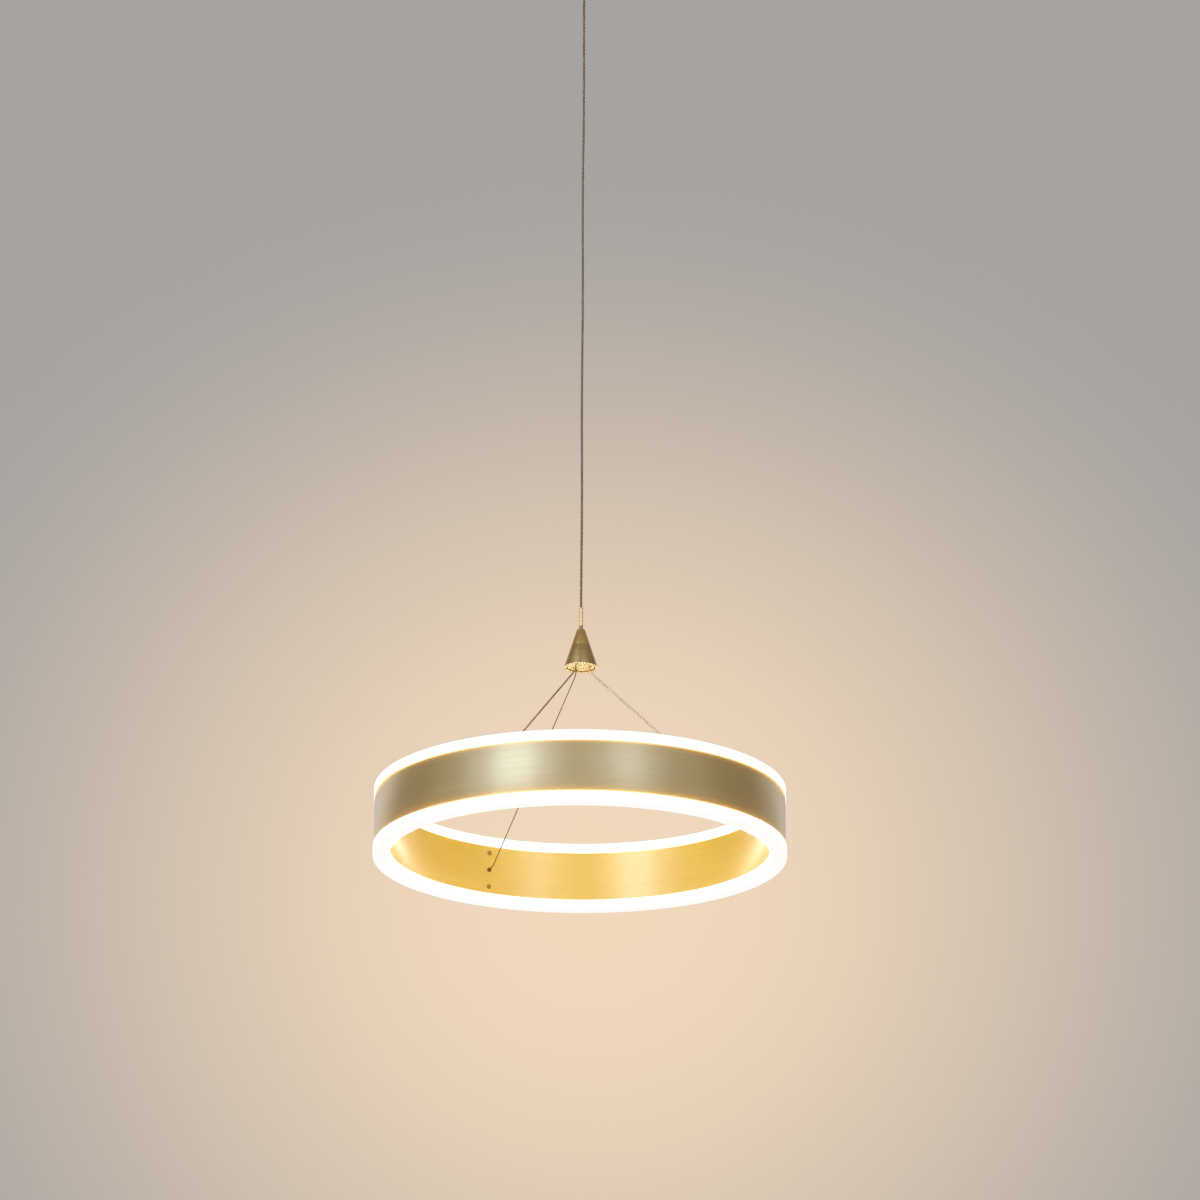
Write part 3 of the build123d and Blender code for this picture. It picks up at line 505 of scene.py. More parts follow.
def prism(points, low, high):
    bm = bmesh.new()
    base = bm.faces.new([bm.verts.new((x, y, low)) for x, y in points])
    raised = bmesh.ops.extrude_face_region(bm, geom=[base])["geom"]
    bmesh.ops.translate(bm, verts=[item for item in raised if isinstance(item, bmesh.types.BMVert)],
                        vec=(0, 0, high - low))
    bmesh.ops.recalc_face_normals(bm, faces=bm.faces)
    return bm


def roundShading(piece):
    # a hoop with holes shades as a round wall, though its faces are flat and uneven beside the holes
    squarely = 0.98  # as good as facing straight in or out
    mesh = piece.data
    normals = [Vector(corner.vector) for corner in mesh.corner_normals]
    for face in mesh.polygons:
        out = Vector((face.center.x, face.center.y, 0)).normalized()
        if abs(face.normal.dot(out)) > squarely:
            side = 1 if face.normal.dot(out) > 0 else -1
            for corner in face.loop_indices:
                place = mesh.vertices[mesh.loops[corner].vertex_index].co
                normals[corner] = side * Vector((place.x, place.y, 0)).normalized()
    mesh.normals_split_custom_set(normals)


# Cords

cordSides = 16
cordSharp = 75     # degrees, so that only the cut ends are sharp
strandSides = 6
strandSteps = 10   # points in each turn of a strand


def smoothLine(points, steps=14):
    data = bpy.data.curves.new("route", "CURVE")
    data.dimensions = "3D"
    data.resolution_u = steps
    spline = data.splines.new("NURBS")
    spline.points.add(len(points) - 1)
    for spot, place in zip(spline.points, points):
        spot.co = (*place, 1)
    spline.order_u = 3
    spline.use_endpoint_u = True
    holder = bpy.data.objects.new("route", data)
    mesh = bpy.data.meshes.new_from_object(holder)
    line = [vertex.co.copy() for vertex in mesh.vertices]
    bpy.data.meshes.remove(mesh)
    bpy.data.curves.remove(data)
    return line


def evenSteps(line, step):
    even = [line[0].copy()]
    left = step
    for a, b in zip(line, line[1:]):
        run = (b - a).length
        while run >= left > 0:
            a = a + (b - a) * (left / run)
            even.append(a.copy())
            run = (b - a).length
            left = step
        left -= run
    even.append(line[-1].copy())
    return even


def tubeOn(line, radius, sides):
    data = bpy.data.curves.new("tube", "CURVE")
    data.dimensions = "3D"
    data.bevel_depth = radius
    data.bevel_resolution = sides // 2 - 2
    data.use_fill_caps = True
    spline = data.splines.new("POLY")
    spline.points.add(len(line) - 1)
    for spot, place in zip(spline.points, line):
        spot.co = (*place, 1)
    holder = bpy.data.objects.new("tube", data)
    mesh = bpy.data.meshes.new_from_object(holder)
    bpy.data.curves.remove(data)
    return mesh


def strandsOn(line, sideways, count, offset, radius, pitch, turns=1, start=0, sides=strandSides):
    # wires twisted round the line, or side by side where turns is nothing
    even = evenSteps(line, pitch / strandSteps)
    meshes = []
    for number in range(count):
        twisted = []
        for index, place in enumerate(even):
            ahead = (even[min(index + 1, len(even) - 1)] - even[max(index - 1, 0)]).normalized()
            right = (sideways - ahead * sideways.dot(ahead)).normalized()
            turn = fullTurn * (start + turns * index / strandSteps + number / count)
            twisted.append(place + offset * (cos(turn) * right + sin(turn) * ahead.cross(right)))
        meshes.append(tubeOn(twisted, radius, sides))
    return meshes


# Drop cable: a clear round sheath with twisted cores in it

dropCable = {
    "diameter": 2.6 * mm,
    "coreCount": 3,
    "coreRadius": 0.44 * mm,
    "coreSpread": 1.16,       # core radii from the cable's middle, so that the cores just clear each other
    "corePitch": 13 * mm,
    "sway": ((130, 0.0, 0.0), (215, 0.5, 0.2), (320, -0.5, 0.3), (430, 0.4, -0.3), (545, -0.4, 0.2),
             (650, 0.5, 0.0), (735, 0.0, 0.0)),  # millimetres below the ceiling, and off the plumb line
    "travel": 0.4,            # metres of cable that the gripper can take up
}


def cableMeshes(line, sideways):
    coreRadius = dropCable["coreRadius"]
    cores = strandsOn(line, sideways, dropCable["coreCount"], coreRadius * dropCable["coreSpread"],
                      coreRadius, dropCable["corePitch"])
    return [(tubeOn(line, dropCable["diameter"] / 2, cordSides), 0)] + [(core, 1) for core in cores]


cableTop = topOf("drop_cable")
cableFoot = bottomOf("drop_cable")
cableRoute = [(0, 0, cableTop)]
cableRoute += [(x * mm, y * mm, -below * mm) for below, x, y in dropCable["sway"]]
cableRoute.append((0, 0, cableFoot))
cableLine = smoothLine(cableRoute)
cablePiece = addPiece("dropCable", gather(cableMeshes(cableLine, Vector((1, 0, 0)))), "gripper",
                      "clear_sheath", ["drop_cable"], [coreWire], sharp=cordSharp)
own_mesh(cablePiece)

# Three wires from the cone to the ring: a twin feed and two wire ropes

hangerWires = {
    "diameters": (2.6 * mm, 1.0 * mm, 1.8 * mm),
    "exitRadius": 8.5 * mm,   # holes in the cone's base plate
    "drop": 5.0 * mm,         # below the base plate
    "entry": 6.0 * mm,        # before the inner band
    "depth": 4.9 * mm,        # past the inner band's face
    "ropeWires": 6,
    "ropePitch": 9,           # in diameters
    "twinGap": 0.02 * mm,     # between the feed's two sheaths
    "twinStep": 2.0 * mm,     # between the points of the feed's lines
    "twinTurn": 0.25,         # of a turn: one sheath above the other
    "twinCoreSides": 10,
}
plateUnder = bottomOf("cone_base_plate")
crimpTop = topOf("wire_crimps")


def hangerRoute(angle):
    steep = ((hangerWires["exitRadius"], crimpTop),
             (hangerWires["exitRadius"], plateUnder - hangerWires["drop"]))
    level = ((bandIn - hangerWires["entry"], ringMiddle), (bandIn + hangerWires["depth"], ringMiddle))
    corners = [Vector((radius * cos(radians(angle)), radius * sin(radians(angle)), height))
               for radius, height in steep + level]
    slope = (corners[2] - corners[1]).normalized()
    below = corners[1] + slope * (corners[1] - corners[0]).length
    before = corners[2] - slope * (corners[3] - corners[2]).length
    return [corners[0], corners[1], below, before, corners[2], corners[3]]


def twinMeshes(line, sideways, diameter):
    # two clear sheaths side by side with a wire in each
    sheathRadius = diameter / 4
    coreRadius = diameter / 12
    apart = sheathRadius + hangerWires["twinGap"] / 2
    meshes = []
    for finishIndex, (radius, sides) in enumerate(((sheathRadius, cordSides),
                                                   (coreRadius, hangerWires["twinCoreSides"]))):
        pair = strandsOn(line, sideways, 2, apart, radius, hangerWires["twinStep"] * strandSteps, turns=0,
                         start=hangerWires["twinTurn"], sides=sides)
        meshes += [(half, finishIndex) for half in pair]
    return meshes


def ropeMeshes(line, sideways, diameter):
    # six wires round a middle one
    wire = diameter / 6
    rope = strandsOn(line, sideways, hangerWires["ropeWires"], 2 * wire, wire,
                     hangerWires["ropePitch"] * diameter)
    return [(tubeOn(line, wire, strandSides), 0)] + [(strand, 0) for strand in rope]


for number, (angle, diameter) in enumerate(zip(anchorAngles, hangerWires["diameters"]), start=1):
    wireLine = smoothLine(hangerRoute(angle))
    sideways = Vector((-sin(radians(angle)), cos(radians(angle)), 0))
    if number == 1:
        slot = "clear_sheath"
        wireMeshes = twinMeshes(wireLine, sideways, diameter)
    else:
        slot = "steel_wire"
        wireMeshes = ropeMeshes(wireLine, sideways, diameter)
    # the thin rope (number 2) gets the darker wire copy, which is painted shade
    wirePiece = addPiece(f"hangerWire{number}", gather(wireMeshes), "light_head", slot,
                         [f"hanger_wire_{number}"], [feedCore], sharp=cordSharp,
                         finish={1: twinSheath, 2: shadedFineWire}.get(number))

# Leads inside the canopy, from the points that the solids follow

mainsDiameter = 4.0 * mm
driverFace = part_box("driver_case")[1].y
leadHeight = (bottomOf("driver_case") + topOf("driver_lid")) / 2
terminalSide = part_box("terminal_block")[0].x
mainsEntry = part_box("mains_lead")[1].y - mainsDiameter / 2
mainsHeight = bottomOf("mains_lead") + mainsDiameter / 2
canopyLeads = {
    "mains_lead": {
        "piece": "mainsLead",
        "slot": "grey_lead",
        "diameter": mainsDiameter,
        "points": ((terminalSide, mainsEntry, mainsHeight),
                   (-16 * mm, mainsEntry, mainsHeight),
                   (-24 * mm, mainsEntry - 6 * mm, mainsHeight + 1 * mm),
                   (-27 * mm, mainsEntry - 16.5 * mm, mainsHeight + 3 * mm),
                   (-25 * mm, driverFace + 11 * mm, leadHeight),
                   (-25 * mm, driverFace, leadHeight)),
    },
    "cable_tail": {
        "piece": "cableTail",
        "slot": "clear_sheath",
        "diameter": dropCable["diameter"],
        "points": ((0, 0, bottomOf("cable_tail")),
                   (0, 0, leadHeight + 8 * mm),
                   (5 * mm, 0.5 * mm, leadHeight + 15 * mm),
                   (15 * mm, 0.5 * mm, leadHeight + 16.5 * mm),
                   (22 * mm, 0, leadHeight + 12 * mm),
                   (24 * mm, driverFace + 13.5 * mm, leadHeight + 4.5 * mm),
                   (24 * mm, driverFace + 7 * mm, leadHeight),
                   (24 * mm, driverFace, leadHeight)),
    },
}
tailSideways = Vector((0, 1, 0.3))  # points across the tail all along it
for node, lead in canopyLeads.items():
    leadLine = smoothLine(lead["points"])
    if node == "cable_tail":
        leadMeshes = cableMeshes(leadLine, tailSideways)
    else:
        leadMeshes = [(tubeOn(leadLine, lead["diameter"] / 2, cordSides), 0)]
    leadPiece = addPiece(lead["piece"], gather(leadMeshes), "ceiling_fitting", lead["slot"], [node],
                         [coreWire], sharp=cordSharp)
print("cords made")

# Light ring: brass bands and opal diffusers

ringSizes = {
    "steps": 288,
    "bandRound": 0.25 * mm,
    "crownRound": 1.5 * mm,
    "diffuserHeight": 10.0 * mm,
    "lip": 1.0 * mm,
    "wall": 2.0 * mm,
    "ledge": 1.5 * mm,
    "legLength": 4.0 * mm,
    "legThickness": 1.2 * mm,
    "legInset": 2.7 * mm,    # from the band's face to the leg
}
screwSizes = {
    "rise": 17.5 * mm,       # above and below the wire
    "headRadius": 2.4 * mm,
    "headHeight": 1.3 * mm,
    "headRim": 0.5 * mm,
    "shankRadius": 1.5 * mm,
    "length": 4.0 * mm,
    "slotLength": 2.9 * mm,
    "slotWidth": 0.8 * mm,
    "slotDepth": 0.6 * mm,
    "domeSteps": 6,
    "steps": 40,
}
bushSizes = {
    "gap": 0.2 * mm,         # round the wire
    "wall": 0.8 * mm,
    "step": 0.9 * mm,        # from the shank to the flange's rim
    "flange": 0.8 * mm,
    "depth": 5.0 * mm,
    "length": 7.0 * mm,
    "round": 0.2 * mm,
    "steps": 48,
}


def hoopAt(inside):
    outside = inside + bandWall
    low, high = ringMiddle - bandEdge, ringMiddle + bandEdge
    hoop = spun([(inside, low), (outside, low), (outside, high), (inside, high)], ringSizes["steps"])
    return roundEdges(hoop, ringSizes["bandRound"], segments=2)


def seatRadius(headRadius):
    return sqrt(bandIn ** 2 - headRadius ** 2)  # where a flat head meets the hollow inside of the band


def bushRadius(diameter):
    return diameter / 2 + bushSizes["gap"] + bushSizes["wall"]


addPiece("outerBand", hoopAt(bandOut - bandWall), "light_head", "brushed_brass_band", ["outer_band"])

bandHoles = []
for angle, diameter in zip(anchorAngles, hangerWires["diameters"]):
    for height, radius in ((0, bushRadius(diameter)), (screwSizes["rise"], screwSizes["shankRadius"]),
                           (-screwSizes["rise"], screwSizes["shankRadius"])):
        hole = rod(radius + fitGap, -bandWall - overrun, overrun)
        hole.transform(facingIn(angle, bandIn, ringMiddle + height))
        bandHoles.append((asMesh(hole, "hole"), 0))
innerBand = addPiece("innerBand", cutAway(hoopAt(bandIn), gather(bandHoles)), "light_head",
                     "brushed_brass_band", ["inner_band"], finish=satinBand)
roundShading(innerBand)

ringOut = bandOut + ringSizes["lip"]
ringIn = bandIn - ringSizes["lip"]
hollowOut = ringOut - ringSizes["wall"]
hollowIn = ringIn + ringSizes["wall"]
legOut = bandOut - ringSizes["legInset"]
legIn = bandIn + ringSizes["legInset"]
legOutInside = legOut - ringSizes["legThickness"]
legInInside = legIn + ringSizes["legThickness"]
crown = bandEdge + ringSizes["diffuserHeight"]
hollowTop = crown - ringSizes["wall"]
ledgeTop = bandEdge + ringSizes["ledge"]
legEnd = bandEdge - ringSizes["legLength"]
diffuserProfile = [
    (ringIn, bandEdge), (ringIn, crown), (ringOut, crown), (ringOut, bandEdge),
    (legOut, bandEdge), (legOut, legEnd), (legOutInside, legEnd), (legOutInside, ledgeTop),
    (hollowOut, ledgeTop), (hollowOut, hollowTop), (hollowIn, hollowTop), (hollowIn, ledgeTop),
    (legInInside, ledgeTop), (legInInside, legEnd), (legIn, legEnd), (legIn, bandEdge),
]


def onCrown(edge):
    return all(abs(vertex.co.z - ringMiddle) > crown - near for vertex in edge.verts)


def opalIndex(face):
    # 0 is the glowing skin, 1 the hollow behind it, 2 and 3 the outer and inner lips over the bands
    middle = face.calc_center_median()
    radius = Vector(middle.xy).length
    height = abs(middle.z - ringMiddle)
    if abs(height - bandEdge) < near:
        return 2 if radius > legOut else 3
    behind = hollowIn - near < radius < hollowOut + near and height < crown - ringSizes["wall"] / 2
    return 1 if behind else 0


for side, place, lip in ((1, "top", opalLip), (-1, "bottom", opalLowLip)):
    opal = spun([(radius, ringMiddle + side * height) for radius, height in diffuserProfile],
                ringSizes["steps"])
    roundEdges(opal, ringSizes["crownRound"], segments=6, wanted=onCrown)
    for face in opal.faces:
        face.material_index = opalIndex(face)
    addPiece(f"diffuser{place.title()}", opal, "light_head", "opal_acrylic", [f"diffuser_{place}"],
             [opalInside, lip, opalInnerLip])
print("light ring made")

# Screws and bushes in the inner band


def domePoint(step):
    lean = pi / 2 * step / screwSizes["domeSteps"]
    dome = screwSizes["headHeight"] - screwSizes["headRim"]
    return screwSizes["headRadius"] * sin(lean), screwSizes["headRim"] + dome * cos(lean)


screwProfile = [domePoint(step) for step in range(screwSizes["domeSteps"] + 1)]
screwProfile += [(screwSizes["headRadius"], 0), (screwSizes["shankRadius"], 0),
                 (screwSizes["shankRadius"], -screwSizes["length"]), (0, -screwSizes["length"])]
longHalf, shortHalf = screwSizes["slotLength"] / 2, screwSizes["slotWidth"] / 2
arm = [(longHalf, -shortHalf), (longHalf, shortHalf), (shortHalf, shortHalf)]
crossPoints = [(x * cos(turn) - y * sin(turn), x * sin(turn) + y * cos(turn))
               for turn in (0, pi / 2, pi, 3 * pi / 2) for x, y in arm]
slotFloor = screwSizes["headHeight"] - screwSizes["slotDepth"]
slotTop = screwSizes["headHeight"] + screwSizes["slotDepth"]
screwMeshes = []
for angle in anchorAngles:
    for height in (screwSizes["rise"], -screwSizes["rise"]):
        screw = spun(screwProfile, screwSizes["steps"], closed=False)
        screw = cutAway(screw, prism(crossPoints, slotFloor, slotTop))
        screw.transform(facingIn(angle, seatRadius(screwSizes["headRadius"]), ringMiddle + height))
        screwMeshes.append((asMesh(screw, "screw"), 0))
addPiece("bandScrews", gather(screwMeshes), "light_head", "dark_bronze", ["band_screws"],
         finish=screwBronze)


def onFlange(edge):
    return all(vertex.co.z > -near for vertex in edge.verts)


for number, (angle, diameter) in enumerate(zip(anchorAngles, hangerWires["diameters"]), start=1):
    bore = diameter / 2 + bushSizes["gap"]
    shank = bushRadius(diameter)
    flange = shank + bushSizes["step"]
    seat = seatRadius(flange)
    foot = seat - bandIn - bushSizes["depth"]
    end = seat - bandIn - bushSizes["length"]
    bush = spun([(0, foot), (bore, foot), (bore, bushSizes["flange"]), (flange, bushSizes["flange"]),
                 (flange, 0), (shank, 0), (shank, end), (0, end)], bushSizes["steps"], closed=False)
    roundEdges(bush, bushSizes["round"], wanted=onFlange)
    bush.transform(facingIn(angle, seat, ringMiddle))
    addPiece(f"wireBush{number}", bush, "light_head", "dark_bronze", [f"wire_bush_{number}"],
             finish=bushBronze)
print("screws and bushes made")

# Cone, tip and sleeve

coneSizes = {
    "baseRadius": 16.7 * mm,
    "topRadius": 4.1 * mm,
    "split": 22.5 * mm,      # joint line above the base
    "splitChamfer": 0.25 * mm,
    "wall": 2.0 * mm,
    "spigotStep": 3.2 * mm,
    "spigot": 4.0 * mm,
    "plateTop": 3.7 * mm,
    "plateRim": 1.1 * mm,
    "plateSeat": 1.0 * mm,
    "bore": 1.5 * mm,
    "round": 0.18 * mm,
    "steps": 128,
}
tipSizes = {"baseRadius": 2.5 * mm, "topRadius": 1.85 * mm, "round": 0.12 * mm, "steps": 64}
sleeveSizes = {"bore": 1.4 * mm, "radius": 2.2 * mm, "round": 0.3 * mm, "steps": 64}
coneBase = bottomOf("cone_shell")
coneTop = topOf("cone_cap")
coneHeight = coneTop - coneBase


def coneRadius(height):
    return coneSizes["baseRadius"] + (coneSizes["topRadius"] - coneSizes["baseRadius"]) * height / coneHeight


split = coneSizes["split"]
nick = coneSizes["splitChamfer"]
spigotRadius = coneRadius(split) - coneSizes["spigotStep"]
spigotEnd = split - coneSizes["spigot"]
socketRadius = spigotRadius + fitGap
pocketRadius = coneRadius(coneSizes["plateTop"]) - coneSizes["plateRim"]
capProfile = [
    (coneSizes["bore"], spigotEnd), (spigotRadius, spigotEnd), (spigotRadius, split),
    (coneRadius(split) - nick, split), (coneRadius(split + nick), split + nick),
    (coneRadius(coneHeight), coneHeight), (coneSizes["bore"], coneHeight),
]
shellProfile = [
    (socketRadius, split), (coneRadius(split) - nick, split), (coneRadius(split - nick), split - nick),
    (coneRadius(0), 0), (pocketRadius, 0), (pocketRadius, coneSizes["plateTop"]),
    (pocketRadius - coneSizes["plateSeat"], coneSizes["plateTop"]),
    (coneRadius(spigotEnd) - coneSizes["wall"], spigotEnd), (socketRadius, spigotEnd),
]
for name, profile, node, finish in (("coneCap", capProfile, "cone_cap", capBrass),
                                    ("coneShell", shellProfile, "cone_shell", None)):
    turned = spun([(radius, coneBase + height) for radius, height in profile], coneSizes["steps"])
    roundEdges(turned, coneSizes["round"])
    for face in turned.faces:  # painted light: the rim that faces the lamp ring gets a paler, brighter copy of the brass
        face.material_index = 1 if face.calc_center_median().z < coneBase + coneSizes["round"] else 0
    addPiece(name, turned, "light_head", "turned_brass", [node], [litBrass], finish=finish)

plateHigh = topOf("cone_base_plate")
plateRadius = pocketRadius - fitGap
plate = spun([(0, plateUnder), (plateRadius, plateUnder), (plateRadius, plateHigh), (0, plateHigh)],
             coneSizes["steps"], closed=False)
plateHoles = []
for angle, diameter in zip(anchorAngles, hangerWires["diameters"]):
    hole = rod(diameter / 2 + bushSizes["gap"], plateUnder - overrun, plateHigh + overrun)
    hole.transform(Matrix.Translation((hangerWires["exitRadius"] * cos(radians(angle)),
                                       hangerWires["exitRadius"] * sin(radians(angle)), 0)))
    plateHoles.append((asMesh(hole, "hole"), 0))
# painted light: the base plate faces the lamp ring and gets the paler brass
addPiece("coneBasePlate", cutAway(roundEdges(plate, coneSizes["round"]), gather(plateHoles)), "light_head",
         "turned_brass", ["cone_base_plate"], finish=litBrass)

tipTop = topOf("cone_tip")
tip = spun([(coneSizes["bore"], coneTop), (tipSizes["baseRadius"], coneTop), (tipSizes["topRadius"], tipTop),
            (coneSizes["bore"], tipTop)], tipSizes["steps"])
addPiece("coneTip", roundEdges(tip, tipSizes["round"], segments=2), "light_head", "dark_bronze",
         ["cone_tip"], finish=agedBronze)

sleeveTop = topOf("cable_sleeve")
sleeveFoot = bottomOf("cable_sleeve")
sleeve = spun([(sleeveSizes["bore"], sleeveFoot), (sleeveSizes["radius"], sleeveFoot),
               (sleeveSizes["radius"], sleeveTop), (sleeveSizes["bore"], sleeveTop)], sleeveSizes["steps"])
addPiece("cableSleeve", roundEdges(sleeve, sleeveSizes["round"], segments=4), "cable_foot", "turned_brass",
         ["cable_sleeve"], finish=litSleeveBrass)
print("cone made")

# Canopy

canopySizes = {
    "wall": 1.2 * mm,
    "edge": 4.0 * mm,        # round between the side and the underside
    "round": 0.3 * mm,
    "neck": 11.3 * mm,
    "screwHole": 2.1 * mm,
    "screwDrop": 9.0 * mm,   # below the ceiling
    "steps": 192,
}
canopyLow = bottomOf("canopy_shell")
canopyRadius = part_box("canopy_shell")[1].x
canopyIn = canopyRadius - canopySizes["wall"]
canopyFloor = canopyLow + canopySizes["wall"]
canopy = spun([(canopySizes["neck"], canopyLow), (canopyRadius, canopyLow), (canopyRadius, 0), (canopyIn, 0),
               (canopyIn, canopyFloor), (canopySizes["neck"], canopyFloor)], canopySizes["steps"])
roundEdges(canopy, canopySizes["edge"], segments=8, wanted=circleAt(canopyRadius, canopyLow))
roundEdges(canopy, canopySizes["edge"] - canopySizes["wall"], segments=8,
           wanted=circleAt(canopyIn, canopyFloor))
roundEdges(canopy, canopySizes["round"])
screwHoles = rod(canopySizes["screwHole"], -canopyRadius - overrun, canopyRadius + overrun)
screwHoles.transform(Matrix.Translation((0, 0, -canopySizes["screwDrop"])) @ Matrix.Rotation(pi / 2, 4, "Y"))
addPiece("canopyShell", cutAway(canopy, screwHoles), "ceiling_fitting", "canopy_brass", ["canopy_shell"])

# Swivel cup, hollow for the ball

swivelSizes = {
    "flangeRadius": 15 * mm,
    "neckRadius": 11.2 * mm,
    "cavity": 9.2 * mm,
    "ballRise": 2 * mm,      # ball's middle above the canopy's underside
    "flangeRound": 1.5 * mm,
    "round": 0.2 * mm,
    "cavitySteps": 12,
    "steps": 96,
}
cupLow = bottomOf("swivel_cup")
cupHigh = topOf("swivel_cup")
ballHeight = canopyLow + swivelSizes["ballRise"]
mouthTurn = asin((ballHeight - cupLow) / swivelSizes["cavity"])


def cavityPoint(step):
    turn = mouthTurn * (1 - step / swivelSizes["cavitySteps"])
    return swivelSizes["cavity"] * cos(turn), ballHeight - swivelSizes["cavity"] * sin(turn)


cupProfile = [cavityPoint(step) for step in range(swivelSizes["cavitySteps"] + 1)]
cupProfile += [(swivelSizes["cavity"], cupHigh), (swivelSizes["neckRadius"], cupHigh),
               (swivelSizes["neckRadius"], canopyLow), (swivelSizes["flangeRadius"], canopyLow),
               (swivelSizes["flangeRadius"], cupLow)]
cup = spun(cupProfile, swivelSizes["steps"])
roundEdges(cup, swivelSizes["flangeRound"], segments=6, wanted=circleAt(swivelSizes["flangeRadius"], cupLow))
roundEdges(cup, swivelSizes["round"], segments=2)
addPiece("swivelCup", cup, "ceiling_fitting", "turned_brass", ["swivel_cup"])

# Gripper barrel and its spring

barrelSizes = {
    "radius": 5.5 * mm,
    "stem": 3.1 * mm,
    "cap": 6 * mm,
    "chamber": 6 * mm,
    "taper": 6 * mm,
    "chamberRadius": 4.25 * mm,
    "guide": 2.95 * mm,
    "round": 0.5 * mm,
    "steps": 80,
    "releaseTravel": 2.0 * mm,
}
barrelTop = topOf("gripper_barrel")
barrelLow = bottomOf("gripper_barrel")
chamberTop = barrelTop - barrelSizes["cap"]
taperTop = chamberTop - barrelSizes["chamber"]
taperLow = taperTop - barrelSizes["taper"]
barrel = spun([(barrelSizes["stem"], barrelTop), (barrelSizes["radius"], barrelTop),
               (barrelSizes["radius"], barrelLow), (barrelSizes["guide"], barrelLow),
               (barrelSizes["guide"], taperLow), (barrelSizes["chamberRadius"], taperTop),
               (barrelSizes["chamberRadius"], chamberTop), (barrelSizes["stem"], chamberTop)],
              barrelSizes["steps"])
for height in (barrelTop, barrelLow):
    roundEdges(barrel, barrelSizes["round"], segments=4, wanted=circleAt(barrelSizes["radius"], height))
addPiece("gripperBarrel", barrel, "gripper", "turned_brass", ["gripper_barrel"])

spring = bmesh.new()
spring.from_mesh(cadNodes["grip_spring"].data)
bmesh.ops.remove_doubles(spring, verts=spring.verts, dist=weld)
springPiece = addPiece("gripSpring", spring, "gripper", "zinc_steel", ["grip_spring"])
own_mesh(springPiece)
print("ceiling fitting made")

# The solids that stay get the finish of their slot

for node in cadNodes.values():
    node.data.materials[0] = finishes[node.data.materials[0].name.split(".")[0]]

# Stage: a bowl of paper round the light

stageLook = {
    "floor": -3.2,
    "radius": 7.0,
    "top": 5.0,
    "sweep": 2.2,
    "steps": 128,
    "grey": (0.385, 0.368, 0.355),
    "glow": (0.88, 0.69, 0.505),       # painted glow of the lamp's light, behind the ring as the camera sees it
    "glowPlace": (0.0, 7.0, 0.85),
    "glowReach": (0.1, 2.45),
    "day": (0.52, 0.53, 0.55),         # behind the camera
    "dayPlace": (-1.0, -7.0, 0.5),
    "dayReach": (1.0, 7.5),
}


def startPaper(name):
    finish = bpy.data.materials.new(name)
    finish.use_nodes = True
    nodes, links = finish.node_tree.nodes, finish.node_tree.links
    nodes.clear()
    return finish, nodes, links, nodes.new("ShaderNodeEmission"), nodes.new("ShaderNodeOutputMaterial")


def fadeFrom(nodes, links, place, reach):
    where = nodes.new("ShaderNodeTexCoord")
    apart = nodes.new("ShaderNodeVectorMath")
    apart.operation = "DISTANCE"
    apart.inputs[1].default_value = place
    fade = nodes.new("ShaderNodeMapRange")
    fade.interpolation_type = "SMOOTHSTEP"
    fade.inputs["From Min"].default_value, fade.inputs["From Max"].default_value = reach
    links.new(where.outputs["Object"], apart.inputs[0])
    links.new(apart.outputs["Value"], fade.inputs["Value"])
    return fade.outputs["Result"]


def bowlPaper(name, look):
    finish, nodes, links, shine, output = startPaper(name)
    # painted light: a warm pool of the lamp's light, painted on the paper behind the ring
    glowTone = twoTone(nodes, links, fadeFrom(nodes, links, look["glowPlace"], look["glowReach"]),
                       look["glow"], look["grey"])
    dayTone = twoTone(nodes, links, fadeFrom(nodes, links, look["dayPlace"], look["dayReach"]),
                      look["day"], glowTone)
    links.new(dayTone, shine.inputs["Color"])
    through = nodes.new("ShaderNodeBsdfTransparent")
    geometry = nodes.new("ShaderNodeNewGeometry")
    sides = nodes.new("ShaderNodeMixShader")  # from under the floor the light is seen through it
    links.new(geometry.outputs["Backfacing"], sides.inputs["Fac"])
    links.new(shine.outputs["Emission"], sides.inputs[1])
    links.new(through.outputs["BSDF"], sides.inputs[2])
    links.new(sides.outputs["Shader"], output.inputs["Surface"])
    return finish


def cardPaper(name, tone):
    finish, nodes, links, shine, output = startPaper(name)
    shine.inputs["Color"].default_value = (*tone, 1)
    links.new(shine.outputs["Emission"], output.inputs["Surface"])
    return finish


def addStage(name, bm, finish, seen=True):
    mesh = asMesh(bm, name)
    mesh.materials.append(finish)
    mesh.shade_smooth()
    piece = bpy.data.objects.new(name, mesh)
    piece.visible_camera = seen
    scene.collection.objects.link(piece)


def fromRing(azimuth, rise):
    turn, lift = radians(azimuth), radians(rise)
    return Vector((sin(turn) * cos(lift), -cos(turn) * cos(lift), sin(lift)))


backdrop = spun([(0, stageLook["floor"]), (stageLook["radius"], stageLook["floor"]),
                 (stageLook["radius"], stageLook["top"])], stageLook["steps"], closed=False)
roundEdges(backdrop, stageLook["sweep"], segments=12,
           wanted=circleAt(stageLook["radius"], stageLook["floor"]))
bmesh.ops.reverse_faces(backdrop, faces=backdrop.faces)
addStage("backdrop", backdrop, bowlPaper("paper", stageLook))

# Soft light, and dark cards that only reflections show

world = bpy.data.worlds.new("studio")
world.use_nodes = True
world.node_tree.nodes["Background"].inputs["Color"].default_value = (*stageLook["grey"], 1)
world.node_tree.nodes["Background"].inputs["Strength"].default_value = 1.0
scene.world = world

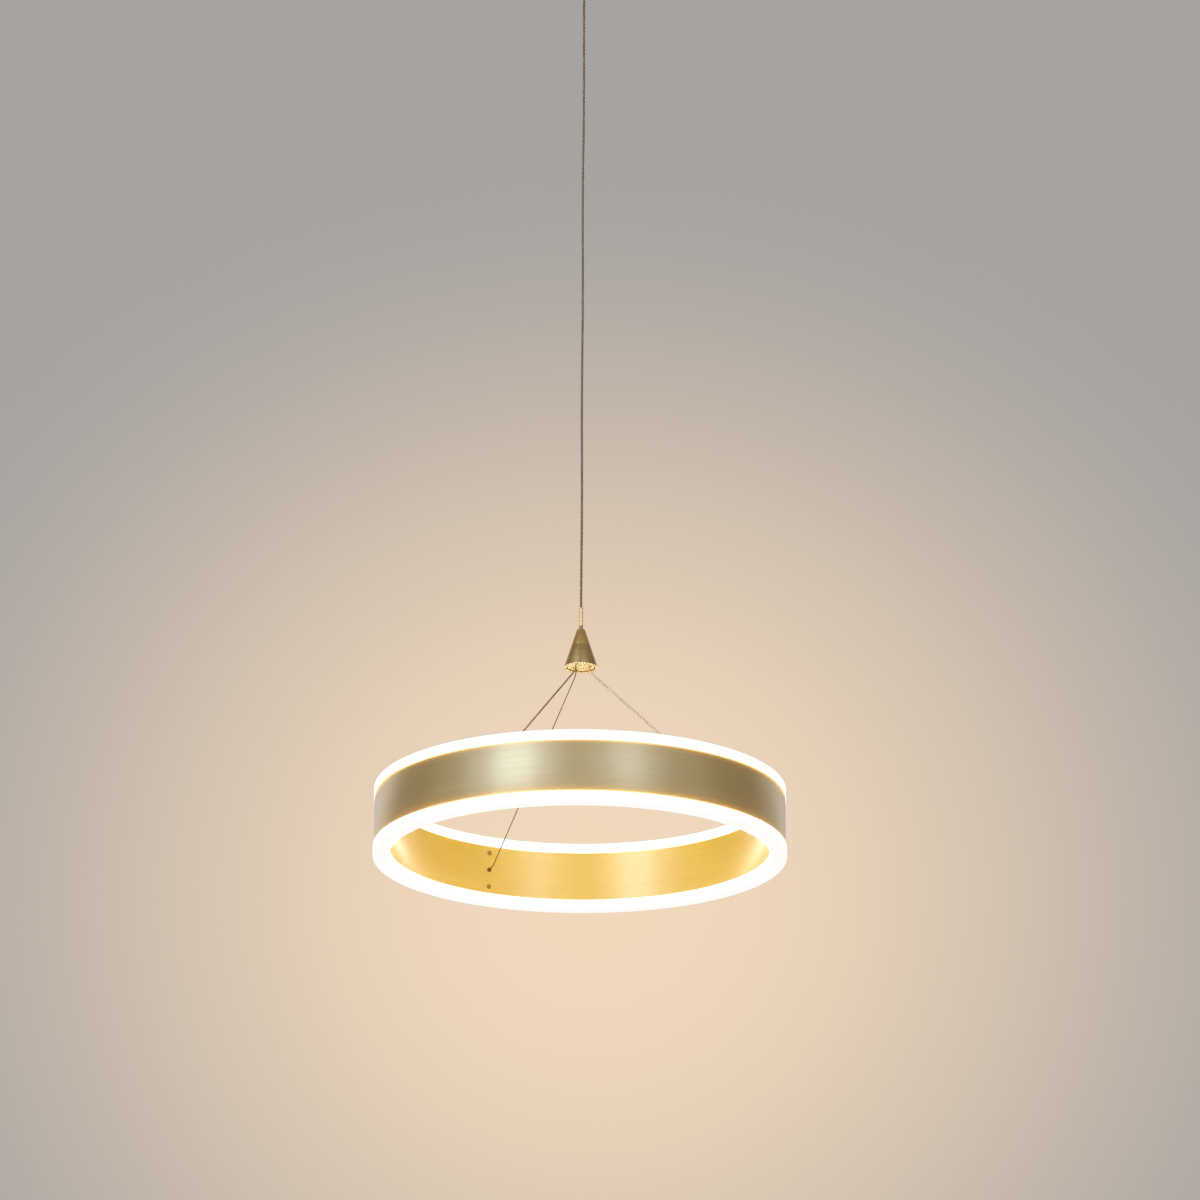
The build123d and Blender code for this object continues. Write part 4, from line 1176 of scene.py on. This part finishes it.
boxRise = 20  # degrees above the ring
dayTint = (0.66, 0.92, 1.55)
roomTint = (1.0, 0.97, 1.0)
softBoxes = {
    "leftBox": {"azimuth": -36, "distance": 4.5, "size": (1.8, 3.0), "radiance": 1.65, "tint": dayTint},
    "leftVeil": {"azimuth": -38, "distance": 4.6, "size": (4.4, 3.0), "radiance": 0.62, "tint": dayTint},
    "rightBox": {"azimuth": 27, "distance": 4.5, "size": (1.2, 3.0), "radiance": 0.9, "tint": dayTint},
    "rightVeil": {"azimuth": 27, "distance": 4.6, "size": (3.4, 3.0), "radiance": 0.4, "tint": dayTint},
    "leftRim": {"azimuth": -146, "distance": 4.5, "size": (2.6, 3.0), "radiance": 0.35, "tint": roomTint},
    "rightRim": {"azimuth": 148, "distance": 4.5, "size": (2.0, 3.0), "radiance": 0.25, "tint": roomTint},
}
for name, box in softBoxes.items():
    width, height = box["size"]
    lamp = bpy.data.lights.new(name, "AREA")
    lamp.shape = "RECTANGLE"
    lamp.size = width
    lamp.size_y = height
    lamp.energy = box["radiance"] * pi * width * height
    lamp.color = box["tint"]
    towards = fromRing(box["azimuth"], boxRise)
    boxPiece = bpy.data.objects.new(name, lamp)
    boxPiece.location = Vector((0, 0, ringMiddle)) + towards * box["distance"]
    boxPiece.rotation_euler = towards.to_track_quat("Z", "Y").to_euler()
    boxPiece.visible_camera = False
    scene.collection.objects.link(boxPiece)

cardRise = 16  # degrees above the ring
darkCards = {
    "rightCard": {"azimuth": 96, "distance": 4.4, "size": (3.4, 3.2), "tone": (0.20, 0.16, 0.11)},
    "leftCard": {"azimuth": -102, "distance": 4.4, "size": (2.6, 3.2), "tone": (0.24, 0.19, 0.12)},
}
for name, look in darkCards.items():
    towards = fromRing(look["azimuth"], cardRise)
    turned = towards.to_track_quat("Z", "Y").to_matrix().to_4x4()
    card = bmesh.new()
    bmesh.ops.create_grid(card, x_segments=1, y_segments=1, size=0.5)
    card.transform(Matrix.Translation(Vector((0, 0, ringMiddle)) + towards * look["distance"])
                   @ turned @ Matrix.Diagonal((*look["size"], 1, 1)))
    addStage(name, card, cardPaper(name, look["tone"]), seen=False)
print("stage and lights made")
